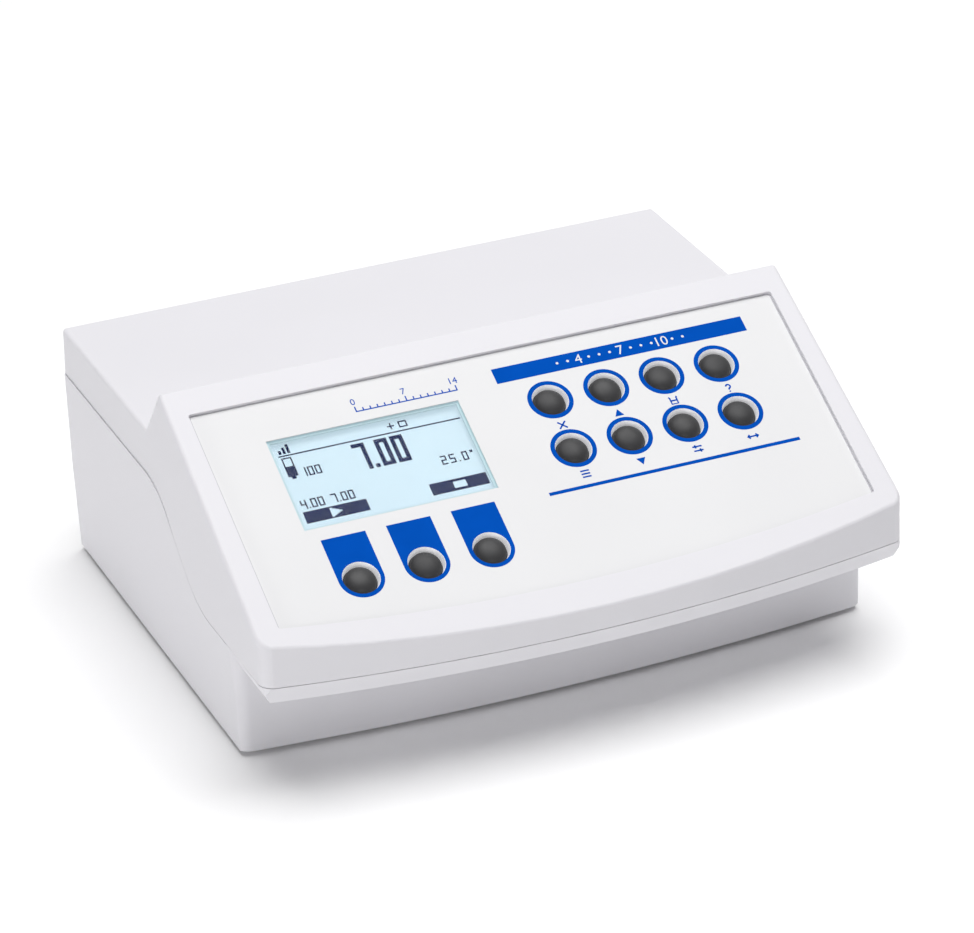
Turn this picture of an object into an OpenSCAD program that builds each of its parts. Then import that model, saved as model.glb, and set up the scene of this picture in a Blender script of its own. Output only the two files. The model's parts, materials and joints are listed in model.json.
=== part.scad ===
// Bench pH meter: a two-shell instrument housing with a sloping key panel, a
// display, eleven rubber keys and a row of sockets in a bay on the back wall.
// Millimetres. Z is up, the panel faces -Y, the origin is under the middle of the part.

/* [Housing] */
// Width across both shells at their widest
case_w = 236.4; // [231:0.2:245]
// Depth from the bowed front to the back wall
case_d = 215.8; // [212:0.1:222]
// Height from the table to the ridge, before its rounding
case_h = 109; // [107:0.5:113]
// Wall of both shells
wall = 2.5; // [2.2:0.1:2.8]
// Rounding rolled over the cover's outer edges
edge_r = 1.6; // [1.2:0.1:2.4]
// How far the middle of the front stands out from its corners
front_bow = 12.3; // [9:0.1:14]
// Rounding of the upright front corners
front_corner_r = 6; // [5:0.5:10]
// Rounding of the upright back corners
back_corner_r = 2.6; // [2:0.1:5]
// How far each side leans in from the widest line up to the ridge
side_lean = 1.8; // [1:0.1:4]
// Height of the upright band of the sides above the front parting line
waist_h = 17; // [12:1:22]
// How far each side draws in from the widest line down to the bottom
foot_draw = 1.4; // [0.5:0.1:2]

/* [Panel and deck] */
// Slope of the key panel from level, in degrees
panel_tilt = 28.3; // [27:0.1:29.5]
// Distance of the ridge behind the front
ridge_set = 108.1; // [105:0.1:111]
// Distance of the valley behind the ridge
valley_set = 15.5; // [13:0.1:22]
// Height of the deck at the back wall
deck_h = 89.8; // [87:0.1:91]
// Fall of the deck from the back wall to the valley, in degrees
deck_fall = 0.5; // [0.3:0.1:3]
// Depth of the recess that takes the overlay
recess_d = 1.5; // [1.1:0.1:1.6]
// Thickness of the overlay
overlay_t = 0.3; // [0.2:0.05:0.5]
// Distance of the overlay's recess from each side of the housing
overlay_margin = 8.7; // [8:0.1:11]
// Distance of the overlay's top edge below the ridge, along the slope
overlay_top = 11.4; // [10:0.1:14]
// Distance of the overlay's bottom corners below the ridge, along the slope
overlay_low = 102.8; // [101:0.1:104]
// Bow of the overlay's bottom edge
overlay_bow = 8.6; // [6:0.1:10]
// Rounding of the overlay's corners
overlay_r = 1; // [0.6:0.1:3]
// Gap round the overlay in its recess
overlay_gap = 0.4; // [0.2:0.05:0.5]

/* [Parting line and tub] */
// Height of the parting line along the front
part_front = 42.1; // [40:0.1:44]
// Height of the parting line at the back
part_back = 72.5; // [69:0.5:74]
// Distance of the middle of the parting line's ramp behind the front
ramp_set = 94.6; // [90:0.1:98]
// Slope of the ramp, in degrees
ramp_slope = 40; // [34:1:44]
// Radius at both ends of the ramp
ramp_r = 34; // [20:1:38]
// Gap between the two shells at the parting line
part_gap = 0.25; // [0.1:0.05:0.4]
// Height of the tub's lip below the parting line, round the front
lip_h = 6.9; // [6:0.1:8]
// How far the lip draws in from the parting line down to its lower edge
lip_draw = 3; // [2:0.1:3.5]
// Set-back of the tub's front wall from the front of the lip, at the middle
tub_set = 36.1; // [33:0.1:39]
// Bow of the tub's front wall
tub_bow = 7.3; // [5:0.1:9]
// Height of the tongue that locates the cover
tongue_h = 2; // [1.5:0.1:2.5]
// Sideways clearance of the tongue
tongue_gap = 0.15; // [0.1:0.05:0.2]
// Height of the feet under the tub
foot_h = 2; // [1.5:0.1:3]
// Radius of each foot
foot_r = 8; // [6:0.5:9]
// Depth of each foot's seat in the floor
foot_seat = 0.8; // [0.5:0.1:1]

/* [Display] */
// Centre of the display window, sideways
window_x = -51.95; // [-53.5:0.05:-50.5]
// Centre of the display window below the ridge, along the slope
window_v = 47.4; // [46.7:0.1:48.2]
// Width of the window
window_w = 70.5; // [68:0.5:73]
// Height of the window
window_h = 38.7; // [37:0.1:40]
// Width of the display's board
lcd_board_w = 93; // [92:0.5:94]
// Height of the display's board
lcd_board_h = 69; // [67:0.5:69.5]
// Width of the display's metal bezel
bezel_w = 78; // [77:0.5:80]
// Height of the display's metal bezel
bezel_h = 51; // [50:0.5:53]
// Thickness of the clear window plate
plate_t = 1; // [0.8:0.1:1.2]

/* [Keys] */
// Columns of main keys, spacing
key_pitch_x = 21.1; // [20:0.1:21.5]
// Rows of main keys, spacing
key_pitch_v = 21.6; // [20:0.1:22.5]
// First main key, sideways
key_x = 14.7; // [13.5:0.1:15.5]
// First main key below the ridge, along the slope
key_v = 36.1; // [35.3:0.1:37.2]
// Spacing of the keys under the display
soft_pitch = 23.5; // [22:0.1:24]
// First key under the display, sideways
soft_x = -75.4; // [-76.5:0.1:-74.5]
// Keys under the display, distance below the ridge along the slope
soft_v = 89.8; // [89.5:0.1:91.2]
// Radius of a key
key_r = 5.75; // [5:0.05:6]
// Radius of the hole round a key
key_hole_r = 7.3; // [7:0.05:7.6]
// Depth of the rim under the panel round each key hole
well_d = 1.7; // [1.2:0.1:2]
// Wall of that rim
well_wall = 1.2; // [1:0.1:1.4]
// Height of a key's top below the panel's face
key_top = 0.5; // [0.2:0.05:0.7]
// Crown of a key's top
key_crown = 1.1; // [0.6:0.1:1.4]
// How far a key travels
key_travel = 1.2; // [0.8:0.1:1.4]
// Room round a key in the key mat, and under its contact at full travel
key_gap = 0.3; // [0.2:0.05:0.4]

/* [Sockets] */
// Depth of the bay in the back wall
bay_d = 3; // [2:0.1:4]
// Distance of the bay's ends from the sides of the housing
bay_margin = 20; // [18:0.5:22]
// Height of the bay
bay_h = 28; // [27:0.5:30]
// Height of the sockets' axes above the main board
axis_h = 9; // [8.7:0.1:9.5]
// Distance of the first and last socket from the bay's ends
socket_end = 19; // [17:0.5:22]
// Reach of the electrode socket from the floor of the bay
electrode_reach = 10.5; // [10:0.1:12]
// Radius of the electrode socket's sleeve
electrode_r = 4.8; // [4.6:0.05:4.9]
// Radius of the reference socket's bore
reference_r = 2; // [1.9:0.05:2.1]
// Radius of the temperature socket's ring
temperature_r = 4.15; // [4:0.05:4.3]
// Radius of the power socket's mouth
power_r = 3.2; // [3:0.05:3.3]
// Radius of the power socket's pin
power_pin_r = 1.05; // [0.9:0.05:1.25]
// Angle between the rocker's two positions
rocker_swing = 18; // [14:1:20]

/* [Boards and screws] */
// Distance of the main board from each side of the housing
board_margin = 30; // [28:0.5:33]
// Depth of the main board
board_d = 112; // [108:1:116]
// Thickness of every board
board_t = 1.6; // [1.5:0.1:1.7]
// Height of the main board's posts above the tub's floor
post_h = 8; // [6:0.5:10]
// Radius of the posts that carry the boards
post_r = 3; // [2.6:0.1:3.4]
// Radius of a board screw's shank
screw_r = 1.2; // [1:0.05:1.3]
// Radius of a board screw's head
screw_head_r = 2.3; // [2.1:0.05:2.5]
// Height of a board screw's head
screw_head_h = 1.5; // [1.2:0.1:1.8]
// Length of a board screw below its head
screw_l = 5; // [4.5:0.1:5.5]
// Radius of a housing screw's shank
case_screw_r = 1.6; // [1.5:0.05:1.75]
// Radius of a housing screw's head
case_head_r = 2.9; // [2.7:0.05:3.1]
// Length of a housing screw below its head
case_screw_l = 16; // [14:0.5:18]
// Radius of the columns that take the housing screws
column_r = 5; // [4.6:0.1:5.4]
// Distance of the housing screws from each side of the housing
column_in = 13.5; // [13:0.1:14]
// Height at which the columns of the two shells meet
column_z = 47; // [45:0.5:50]

/* [Hidden] */
$fn = 64;

// Cuts run past the faces they open by this much.
past = 1;
// Fitted round pieces and screws sit in their holes with this clearance.
fit_gap = 0.05;
// Holes that only let a piece through are wider than it by this much.
pass_gap = 0.2;

// Places in the housing
half_w = case_w / 2;
socket_reach = electrode_reach - bay_d;
front_y = -(case_d + socket_reach) / 2;
back_y = front_y + case_d;
ridge_y = front_y + ridge_set;
valley_y = ridge_y + valley_set;
valley_z = deck_h - (back_y - valley_y) * tan(deck_fall);
widest_high = part_front + waist_h;
shelf_z = part_front - lip_h;
floor_z = foot_h + wall;
tub_front = front_y + tub_set;
overlay_half = half_w - overlay_margin;
bay_y = back_y - bay_d;
bay_inner_y = bay_y - wall;
bay_w = case_w - 2 * bay_margin;

// The radius of an arc from its half chord and its rise
function arc_r(half, rise) = (half * half + rise * rise) / (2 * rise);
front_R = arc_r(half_w, front_bow);
tub_R = arc_r(half_w, tub_bow);

// The row of sockets, evenly spaced along the bay
socket_step = (bay_w - 2 * socket_end) / 5;
function socket_x(i) = socket_end - bay_w / 2 + i * socket_step;
electrode_x = socket_x(0);
reference_x = socket_x(1);
temperature_x = socket_x(2);
computer_x = socket_x(3);
power_x = socket_x(4);
rocker_x = socket_x(5);

// Heights below the panel's face
seat_z = -recess_d;
under_z = -wall;
well_z = under_z - well_d;
key_stem = 5.6;
key_board_z = key_top + key_crown + key_stem + key_travel + key_gap;
pill_t = 0.4;
pill_r = 2.5;
key_low = -key_board_z + key_gap + key_travel + pill_t;
mat_t = 1.2;
lcd_top = under_z - plate_t;
glass_t = 2;
backlight_t = 2.4;
bezel_t = 0.5;
lcd_board_z = lcd_top - bezel_t - glass_t - backlight_t;

// Main board
board_w = case_w - 2 * board_margin;
board_top = floor_z + post_h + board_t;
board_bay_gap = 1;
board_back = bay_inner_y - board_bay_gap;
board_front = board_back - board_d;
axis_z = board_top + axis_h;
board_post_in = 6;
board_post_clear = 30;
board_post_x = board_w / 2 - board_post_in;
board_post_front = board_front + board_post_in;
board_post_back = board_back - board_post_clear;

// Columns for the housing screws
column_x = half_w - column_in;
column_front_in = 22;
column_back_in = 14;
column_front_y = tub_front + column_front_in;
column_back_y = back_y - column_back_in;
case_seat_l = 8;
case_seat_z = column_z - case_seat_l;
case_head_h = 2;
case_bore_r = case_screw_r + pass_gap;
case_recess_r = case_head_r + pass_gap;

// Outlines

// A point at distance d along angle a
function ray(a, d = 1) = [d * cos(a), d * sin(a)];
// The crossing of two lines, each given by a point and an angle
function meet(p, a, q, b) = p + ray(a) * (cross(q - p, ray(b)) / cross(ray(a), ray(b)));
// An outline from its edges, each a point and an angle, all moved inwards by d
function inset(edges, d) = [for (i = [0 : len(edges) - 1])
  let (e = edges[i], n = edges[(i + 1) % len(edges)])
  meet(e[0] + ray(e[1] + 90, d), e[1], n[0] + ray(n[1] + 90, d), n[1])];

// Side view of the closed housing above the tub, anticlockwise in Y and Z
cover_edges = [
  [[ridge_y, case_h], 180 + panel_tilt],
  [[front_y, 0], 270],
  [[0, shelf_z], 0],
  [[back_y, 0], 90],
  [[back_y, deck_h], 180 + deck_fall],
  [[valley_y, valley_z], atan2(case_h - valley_z, ridge_y - valley_y)]];

// The console in front of the valley and the rear part behind the ridge, both convex
console_edges = [cover_edges[0], cover_edges[1], cover_edges[2], cover_edges[5]];
rear_edges = [cover_edges[4], [[ridge_y, 0], 270], cover_edges[2], cover_edges[3]];

// Front view of the closed housing above the tub, anticlockwise in X and Z
section_edges = [
  [[0, shelf_z], 0],
  [[half_w, 0], 90],
  [[half_w, widest_high], 90 + atan2(side_lean, case_h - widest_high)],
  [[0, case_h], 180],
  [[-half_w, widest_high], 270 - atan2(side_lean, case_h - widest_high)],
  [[-half_w, 0], 270]];

// Front view of the tub, drawn in towards its bottom
tub_edges = [
  [[0, foot_h], 0],
  [[half_w - foot_draw, foot_h], atan2(part_front - foot_h, foot_draw)],
  [[half_w, 0], 90],
  [[0, case_h], 180],
  [[-half_w, 0], 270],
  [[-half_w, part_front], atan2(foot_h - part_front, foot_draw)]];

// What rounds off a corner: the wedge between two directions from c, outside its circle
module corner_trim(c, r, a, b) {
  difference() {
    polygon([c, c + ray(a, 2 * r), c + ray(a, 2 * r) + ray(b, 2 * r), c + ray(b, 2 * r)]);
    translate(c) circle(r);
  }
}

// Plan outline with a bowed front of radius R and rounded corners
module bowed_outline(half, front, back, R, front_r, back_r) {
  centre = [0, front + R];
  rise = sqrt(pow(R - front_r, 2) - pow(half - front_r, 2));
  corner = [half - front_r, centre[1] - rise];
  lean = atan2(-rise, half - front_r);
  difference() {
    intersection() {
      translate([-half, front]) square([2 * half, back - front]);
      translate(centre) circle(R, $fn = 180);
    }
    for (side = [0, 1]) mirror([side, 0]) {
      corner_trim(corner, front_r, lean, 0);
      corner_trim([half - back_r, back - back_r], back_r, 0, 90);
    }
  }
}

// Plan outlines of the cover and of the tub, moved inwards by d
least_r = 1;
module cover_plan(d) {
  bowed_outline(half_w - d, front_y + d, back_y - d, front_R - d,
    max(front_corner_r - d, least_r), max(back_corner_r - d, least_r));
}
module tub_plan(d) {
  bowed_outline(half_w - d, tub_front + d, back_y - d, tub_R - d,
    max(front_corner_r - d, least_r), max(back_corner_r - d, least_r));
}

// The space inside a side view, the front view and the plan, all moved inwards by d
module block(edges, d) {
  intersection() {
    translate([-half_w, 0, 0]) rotate([90, 0, 90]) linear_extrude(case_w) polygon(inset(edges, d));
    translate([0, back_y, 0]) rotate([90, 0, 0]) linear_extrude(case_d)
      polygon(inset(section_edges, d));
    linear_extrude(case_h) cover_plan(d);
  }
}

// The housing above the tub's shelf as a plain block, moved inwards by d
module housing_block(d) {
  block(cover_edges, d);
}

// A convex block with a ball rolled over its edges. The ball is turned so that none of its
// corners lies square to a face.
ball_turn = [7, 11, 13];
module rolled_block(edges) {
  minkowski() {
    block(edges, edge_r, $fn = 32);
    rotate(ball_turn) sphere(edge_r, $fn = 20);
  }
}

// Side view of everything under the parting line, raised by rise
ramp_y = front_y + ramp_set;
ramp_half = (part_back - part_front) / 2 / tan(ramp_slope);
ramp_reach = ramp_r * tan(ramp_slope / 2);
module below_parting(rise) {
  top = [ramp_y + ramp_half, part_back];
  low = [ramp_y - ramp_half, part_front];
  convex = top + [ramp_reach, -ramp_r];
  hollow = low + [-ramp_reach, ramp_r];
  low_end = low + [-ramp_reach, 0];
  high_end = low + ray(ramp_slope, ramp_reach);
  top_end = top + [ramp_reach, 0];
  ramp_end = top + ray(180 + ramp_slope, ramp_reach);
  out = ray(90 + ramp_slope, past);
  translate([-half_w - past, 0, rise]) rotate([90, 0, 90]) linear_extrude(case_w + 2 * past)
    difference() {
      union() {
        polygon([[front_y - past, 0], [back_y + past, 0], [back_y + past, part_back], top, low,
          [front_y - past, part_front]]);
        difference() {
          polygon([low_end + [0, -past], low + [past, -past], high_end + [past, -past], high_end, hollow,
            low_end]);
          translate(hollow) circle(ramp_r, $fn = 180);
        }
      }
      difference() {
        polygon([top_end, top_end + [0, past], top + [-past * tan(ramp_slope / 2), past], ramp_end + out,
          ramp_end, convex]);
        translate(convex) circle(ramp_r, $fn = 180);
      }
    }
}

// Frames that pieces are placed in

// The panel's face at the ridge: X sideways, Y up the slope, Z out of the panel
module on_panel() {
  translate([0, ridge_y, case_h]) rotate([panel_tilt, 0, 0]) children();
}
// A place on the panel, v down the slope
module at_panel(x, v) {
  on_panel() translate([x, -v, 0]) children();
}
// A main key's place, and a place under the display
module at_key(column, row) {
  at_panel(key_x + column * key_pitch_x, key_v + row * key_pitch_v) children();
}
module at_soft(i) {
  at_panel(soft_x + i * soft_pitch, soft_v) children();
}
module at_every_key() {
  for (column = [0 : 3], row = [0, 1]) at_key(column, row) children();
  for (i = [0 : 2]) at_soft(i) children();
}
// A socket's place in the bay: Z out of the back wall, Y down
module on_bay(x) {
  translate([x, bay_y, axis_z]) rotate([-90, 0, 0]) children();
}
// The four columns for the housing screws
module at_columns() {
  for (x = [-column_x, column_x], y = [column_front_y, column_back_y]) translate([x, y, 0]) children();
}
// The main board's posts
module at_board_posts() {
  for (x = [-board_post_x, board_post_x], y = [board_post_front, board_post_back])
    translate([x, y, 0]) children();
}
// The display board's posts
lcd_post_inset = post_r;
module at_lcd_posts() {
  for (i = [-1, 1], j = [-1, 1])
    at_panel(window_x + i * (lcd_board_w / 2 - lcd_post_inset),
      window_v + j * (lcd_board_h / 2 - lcd_post_inset)) children();
}
// The key board's posts
key_board_side = 18;
key_board_above = 15;
key_board_below = 10;
lcd_board_gap = 3;
key_board_left = soft_x - key_board_side;
key_board_right = key_x + 3 * key_pitch_x + key_board_side;
key_board_step = window_x + lcd_board_w / 2 + lcd_board_gap;
key_board_top = key_v - key_board_above;
key_board_low = soft_v + key_board_below;
key_strip_top = window_v + lcd_board_h / 2 + pass_gap;
key_post_inset = 4;
module at_key_posts() {
  for (v = [key_board_top + key_post_inset, key_board_low - key_post_inset])
    at_panel(key_board_right - key_post_inset, v) children();
  at_panel(key_board_step + key_post_inset, key_board_top + key_post_inset) children();
  at_panel(key_board_left + key_post_inset, key_board_low - key_post_inset) children();
}

// Shapes that repeat

// A pan-head screw with a round drive, head upwards, its shank below Z 0
drive_d = 0.8;
drive_r = 0.9;
module pan_screw(shank_r, head_r, head_h, length) {
  rotate_extrude() difference() {
    union() {
      translate([0, -length]) square([shank_r, length + head_h / 2]);
      square([head_r, head_h]);
    }
    corner_trim([head_r - head_h / 2, head_h / 2], head_h / 2, 0, 90);
    translate([-past, head_h - drive_d]) square([past + drive_r, past]);
  }
}

// A post with a blind hole for a board screw, from z down to its end
module board_post(top, length) {
  difference() {
    translate([0, 0, top - length]) cylinder(h = length, r = post_r);
    translate([0, 0, top - length - past]) cylinder(h = screw_l + past, r = screw_r + fit_gap);
  }
}

// A plate with rounded corners, centred
module rounded_plate(w, h, t, r) {
  linear_extrude(t) difference() {
    square([w, h], center = true);
    for (i = [0, 1], j = [0, 1]) mirror([i, 0]) mirror([0, j])
      corner_trim([w / 2 - r, h / 2 - r], r, 0, 90);
  }
}

// Housing

column_web = 2;
module columns(low, high, r) {
  at_columns() translate([0, 0, low]) cylinder(h = high - low, r = r);
}
// Webs that tie the two columns at y to the side walls
module column_webs(y, low, high) {
  for (side = [0, 1]) mirror([side, 0, 0]) translate([column_x, y - column_web / 2, low])
    cube([half_w - column_x, column_web, high - low]);
}

// The tongue stands on the rim of the tub, a little outside its inner face
tongue_in = 0.2;
module tongue() {
  intersection() {
    difference() {
      housing_block(wall / 2 + tongue_gap);
      housing_block(wall - tongue_in);
    }
    difference() {
      below_parting(tongue_h);
      below_parting(-wall);
    }
  }
}

rib_h = 4;
module floor_ribs() {
  for (x = [-1, 1]) translate([x * board_w / 4 - wall / 2, tub_front + wall / 2, foot_h])
    cube([wall, bay_inner_y - tub_front, wall + rib_h]);
}

switch_w = 13;
switch_h = 19.4;
switch_wall = 1;
cut_l = 30;
module round_opening(x, r) {
  translate([x, 0, 0]) cylinder(h = cut_l, r = r + pass_gap, center = true);
}
module square_opening(x, w, h) {
  translate([x, 0, 0]) cube([w + 2 * pass_gap, h + 2 * pass_gap, cut_l], center = true);
}
module bay_openings() {
  round_opening(electrode_x, electrode_barrel_r);
  round_opening(reference_x, reference_body_r);
  round_opening(temperature_x, temperature_r);
  round_opening(power_x, power_nose_r);
  square_opening(computer_x, usb_w, usb_h);
  square_opening(rocker_x, switch_w, switch_h);
}

// The tub's sides lean in towards the foot. Its inside is upright, one wall in at half height.
module tub_body() {
  intersection() {
    linear_extrude(case_h) tub_plan(0);
    translate([0, back_y, 0]) rotate([90, 0, 0]) linear_extrude(case_d) polygon(inset(tub_edges, 0));
  }
}
module tub_cavity() {
  translate([0, 0, floor_z]) linear_extrude(case_h) tub_plan(wall + foot_draw / 2);
}

// The lip moved inwards by d. From the parting line its sides and its bowed front draw in
// down to its lower edge, the front on a cone about the middle of the bow.
lip_slope = lip_draw / lip_h;
lip_edges = [
  [[0, shelf_z], 0],
  [[half_w - lip_draw, shelf_z], atan2(lip_h, lip_draw)],
  [[0, case_h], 180],
  [[-half_w, part_front], -atan2(lip_h, lip_draw)]];
module lip_body(d) {
  low_r = front_R - d - lip_slope * (lip_h - d);
  intersection() {
    linear_extrude(case_h) cover_plan(d);
    translate([0, back_y, 0]) rotate([90, 0, 0]) linear_extrude(case_d) polygon(inset(lip_edges, d));
    translate([0, front_y + front_R, 0]) rotate_extrude($fn = 180)
      polygon([[0, shelf_z + d], [low_r, shelf_z + d],
        [front_R - d + lip_slope * (case_h - part_front), case_h], [0, case_h]]);
  }
}

// The lip is kept as far back as the tub's front corners reach
module lip() {
  reach = tub_set + tub_bow + front_corner_r;
  difference() {
    intersection() {
      lip_body(0);
      translate([-case_w, front_y - past, 0]) cube([2 * case_w, reach + past, case_h]);
    }
    lip_body(wall);
    tub_cavity();
  }
}

module tub_solid() {
  intersection() {
    union() {
      difference() {
        tub_body();
        tub_cavity();
      }
      lip();
    }
    below_parting(-part_gap);
  }
}

foot_in_x = 23.5;
foot_in_y = 34;
module at_feet() {
  for (x = [-1, 1], y = [tub_front + tub_bow + foot_in_y, back_y - foot_in_y])
    translate([x * (half_w - foot_in_x), y, 0]) children();
}

module base_tub() color("#dcdce4") {
  difference() {
    union() {
      tub_solid();
      tongue();
      intersection() {
        union() {
          columns(foot_h, column_z, column_r);
          column_webs(column_front_y, foot_h, part_front - part_gap);
          column_webs(column_back_y, foot_h, column_z);
          floor_ribs();
          at_board_posts() translate([0, 0, floor_z - past]) cylinder(h = post_h + past, r = post_r);
        }
        translate([0, 0, foot_h]) linear_extrude(case_h) tub_plan((wall + foot_draw) / 2);
      }
      translate([-bay_w / 2 - wall, bay_inner_y, axis_z - bay_h / 2 - wall])
        cube([bay_w + 2 * wall, back_y - bay_inner_y - wall / 2, bay_h + 2 * wall]);
    }
    translate([-bay_w / 2, bay_y, axis_z - bay_h / 2]) cube([bay_w, bay_d + past, bay_h]);
    on_bay(0) bay_openings();
    at_columns() {
      translate([0, 0, -past]) cylinder(h = case_seat_z + past, r = case_recess_r);
      cylinder(h = column_z + past, r = case_bore_r);
    }
    at_board_posts() translate([0, 0, floor_z + post_h - screw_l])
      cylinder(h = screw_l + past, r = screw_r + fit_gap);
    at_feet() translate([0, 0, -past]) cylinder(h = foot_h + foot_seat + past, r = foot_r + fit_gap);
  }
}

// The cover's groove is deeper than the tongue is high
groove_room = 3 * part_gap;
module cover_shell() {
  difference() {
    intersection() {
      union() {
        rolled_block(console_edges);
        rolled_block(rear_edges);
      }
      difference() {
        translate([-case_w, -case_d, 0]) cube([2 * case_w, 2 * case_d, 2 * case_h]);
        below_parting(0);
      }
    }
    housing_block(wall);
    intersection() {
      housing_block(wall / 2);
      below_parting(tongue_h + groove_room);
    }
  }
}

module overlay_outline(d) {
  half = overlay_half - d;
  R = arc_r(overlay_half, overlay_bow) - d;
  bowed_outline(half, -overlay_low - overlay_bow + d, -overlay_top - d, R, overlay_r, overlay_r);
}

module top_cover() color("#f0f0f2") {
  difference() {
    union() {
      cover_shell();
      intersection() {
        union() {
          columns(column_z, case_h, column_r);
          column_webs(column_front_y, column_z, case_h);
          column_webs(column_back_y, part_back + tongue_h + past, case_h);
        }
        housing_block(wall / 2);
      }
      at_lcd_posts() board_post(under_z + wall / 4, under_z + wall / 4 - lcd_board_z);
      at_key_posts() board_post(under_z + wall / 4, under_z + wall / 4 + key_board_z);
      at_every_key() translate([0, 0, well_z])
        cylinder(h = well_d + wall / 4, r = key_hole_r + well_wall);
    }
    on_panel() translate([0, 0, seat_z]) linear_extrude(case_h) overlay_outline(0);
    at_panel(window_x, window_v) cube([window_w, window_h, 4 * wall], center = true);
    at_every_key() translate([0, 0, -2 * wall]) cylinder(h = 2 * wall, r = key_hole_r);
    at_columns() translate([0, 0, column_z - past])
      cylinder(h = case_screw_l + past, r = case_screw_r + fit_gap);
  }
}

module panel_overlay() color("#f2f2f2") {
  difference() {
    on_panel() translate([0, 0, seat_z]) linear_extrude(overlay_t) overlay_outline(overlay_gap);
    at_panel(window_x, window_v) cube([window_w, window_h, 4 * wall], center = true);
    at_every_key() translate([0, 0, -2 * wall]) cylinder(h = 2 * wall, r = key_hole_r);
  }
}

module rubber_feet() color("#303030") {
  chamfer = 0.6;
  at_feet() rotate_extrude() polygon([[0, 0], [foot_r - chamfer, 0], [foot_r, chamfer],
    [foot_r, foot_h + foot_seat], [0, foot_h + foot_seat]]);
}

module case_screws() color("silver") {
  at_columns() translate([0, 0, case_seat_z]) mirror([0, 0, 1])
    pan_screw(case_screw_r, case_head_r, case_head_h, case_screw_l);
}

// Display

plate_lap = 3;
plate_r = 1.5;
module display_window() color("#c8e8f2", 0.4) {
  at_panel(window_x, window_v) translate([0, 0, lcd_top])
    rounded_plate(window_w + 2 * plate_lap, window_h + 2 * plate_lap, plate_t, plate_r);
}

bezel_side = 0.6;
bezel_r = 1.5;
bezel_view = 0.2;
module lcd_bezel() color("#2c2c30") {
  height = lcd_top - lcd_board_z;
  at_panel(window_x, window_v) translate([0, 0, lcd_board_z]) difference() {
    rounded_plate(bezel_w, bezel_h, height, bezel_r);
    translate([0, 0, -past]) linear_extrude(height - bezel_t + past)
      square([bezel_w - 2 * bezel_side, bezel_h - 2 * bezel_side], center = true);
    linear_extrude(2 * height)
      square([window_w + 2 * bezel_view, window_h + 2 * bezel_view], center = true);
  }
}

lcd_inside_gap = 1;
lcd_inside_r = 0.5;
lcd_board_r = 1;
lcd_inside_w = bezel_w - 2 * lcd_inside_gap;
lcd_inside_h = bezel_h - 2 * lcd_inside_gap;
module lcd_glass() color("#b8e0ee") {
  at_panel(window_x, window_v) translate([0, 0, lcd_board_z + backlight_t])
    rounded_plate(lcd_inside_w, lcd_inside_h, glass_t, lcd_inside_r);
}

module lcd_backlight() color("#f4f6f0") {
  at_panel(window_x, window_v) translate([0, 0, lcd_board_z])
    rounded_plate(lcd_inside_w, lcd_inside_h, backlight_t, lcd_inside_r);
}

module lcd_board() color("#1f6b3a") {
  difference() {
    at_panel(window_x, window_v) translate([0, 0, lcd_board_z - board_t])
      rounded_plate(lcd_board_w, lcd_board_h, board_t, lcd_board_r);
    at_lcd_posts() translate([0, 0, lcd_board_z - 2 * board_t])
      cylinder(h = 3 * board_t, r = screw_r + pass_gap);
  }
}

module lcd_screws() color("silver") {
  at_lcd_posts() translate([0, 0, lcd_board_z - board_t]) mirror([0, 0, 1])
    pan_screw(screw_r, screw_head_r, screw_head_h, screw_l);
}

// Keys

module key_board_outline(d) {
  polygon([[key_board_step + d, -key_board_top - d], [key_board_right - d, -key_board_top - d],
    [key_board_right - d, -key_board_low + d], [key_board_left + d, -key_board_low + d],
    [key_board_left + d, -key_strip_top - d], [key_board_step + d, -key_strip_top - d]]);
}

module keypad_board() color("#1f6b3a") {
  difference() {
    on_panel() translate([0, 0, -key_board_z - board_t]) linear_extrude(board_t) key_board_outline(0);
    at_key_posts() translate([0, 0, -key_board_z - 2 * board_t])
      cylinder(h = 3 * board_t, r = screw_r + pass_gap);
  }
}

// The key's skirt is wider than its cap and runs in a collar of the mat
skirt_step = 0.35;
skirt_r = key_r + skirt_step;
collar_r = skirt_r + key_gap;
collar_wall = 0.8;
mat_in = 0.5;
module keypad_mat() color("#26262a") {
  difference() {
    union() {
      on_panel() translate([0, 0, -key_board_z]) linear_extrude(mat_t) key_board_outline(mat_in);
      at_every_key() translate([0, 0, -key_board_z])
        cylinder(h = key_board_z + well_z, r = collar_r + collar_wall);
    }
    at_every_key() translate([0, 0, -2 * key_board_z]) cylinder(h = 4 * key_board_z, r = collar_r);
    at_key_posts() translate([0, 0, -2 * key_board_z])
      cylinder(h = 4 * key_board_z, r = post_r + pass_gap);
  }
}

// A key: a crowned cap on a wider skirt
module key_cap() color("#2e2e32") {
  shoulder_z = well_z - key_gap;
  rim_z = -key_top - key_crown;
  crown_r = arc_r(key_r, key_crown);
  rotate_extrude() {
    translate([0, key_low]) square([skirt_r, shoulder_z - key_low]);
    translate([0, shoulder_z - past]) square([key_r, rim_z - shoulder_z + past]);
    intersection() {
      translate([0, rim_z - past]) square([key_r, key_crown + past]);
      translate([0, -key_top - crown_r]) circle(crown_r, $fn = 180);
    }
  }
}

module contact_pill() color("#141414") {
  translate([0, 0, key_low - pill_t]) cylinder(h = pill_t, r = pill_r);
}

module key_escape() at_key(0, 0) key_cap();
module key_up() at_key(1, 0) key_cap();
module key_calibrate() at_key(2, 0) key_cap();
module key_help() at_key(3, 0) key_cap();
module key_menu() at_key(0, 1) key_cap();
module key_down() at_key(1, 1) key_cap();
module key_setup() at_key(2, 1) key_cap();
module key_range() at_key(3, 1) key_cap();
module soft_key_left() at_soft(0) key_cap();
module soft_key_middle() at_soft(1) key_cap();
module soft_key_right() at_soft(2) key_cap();

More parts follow.
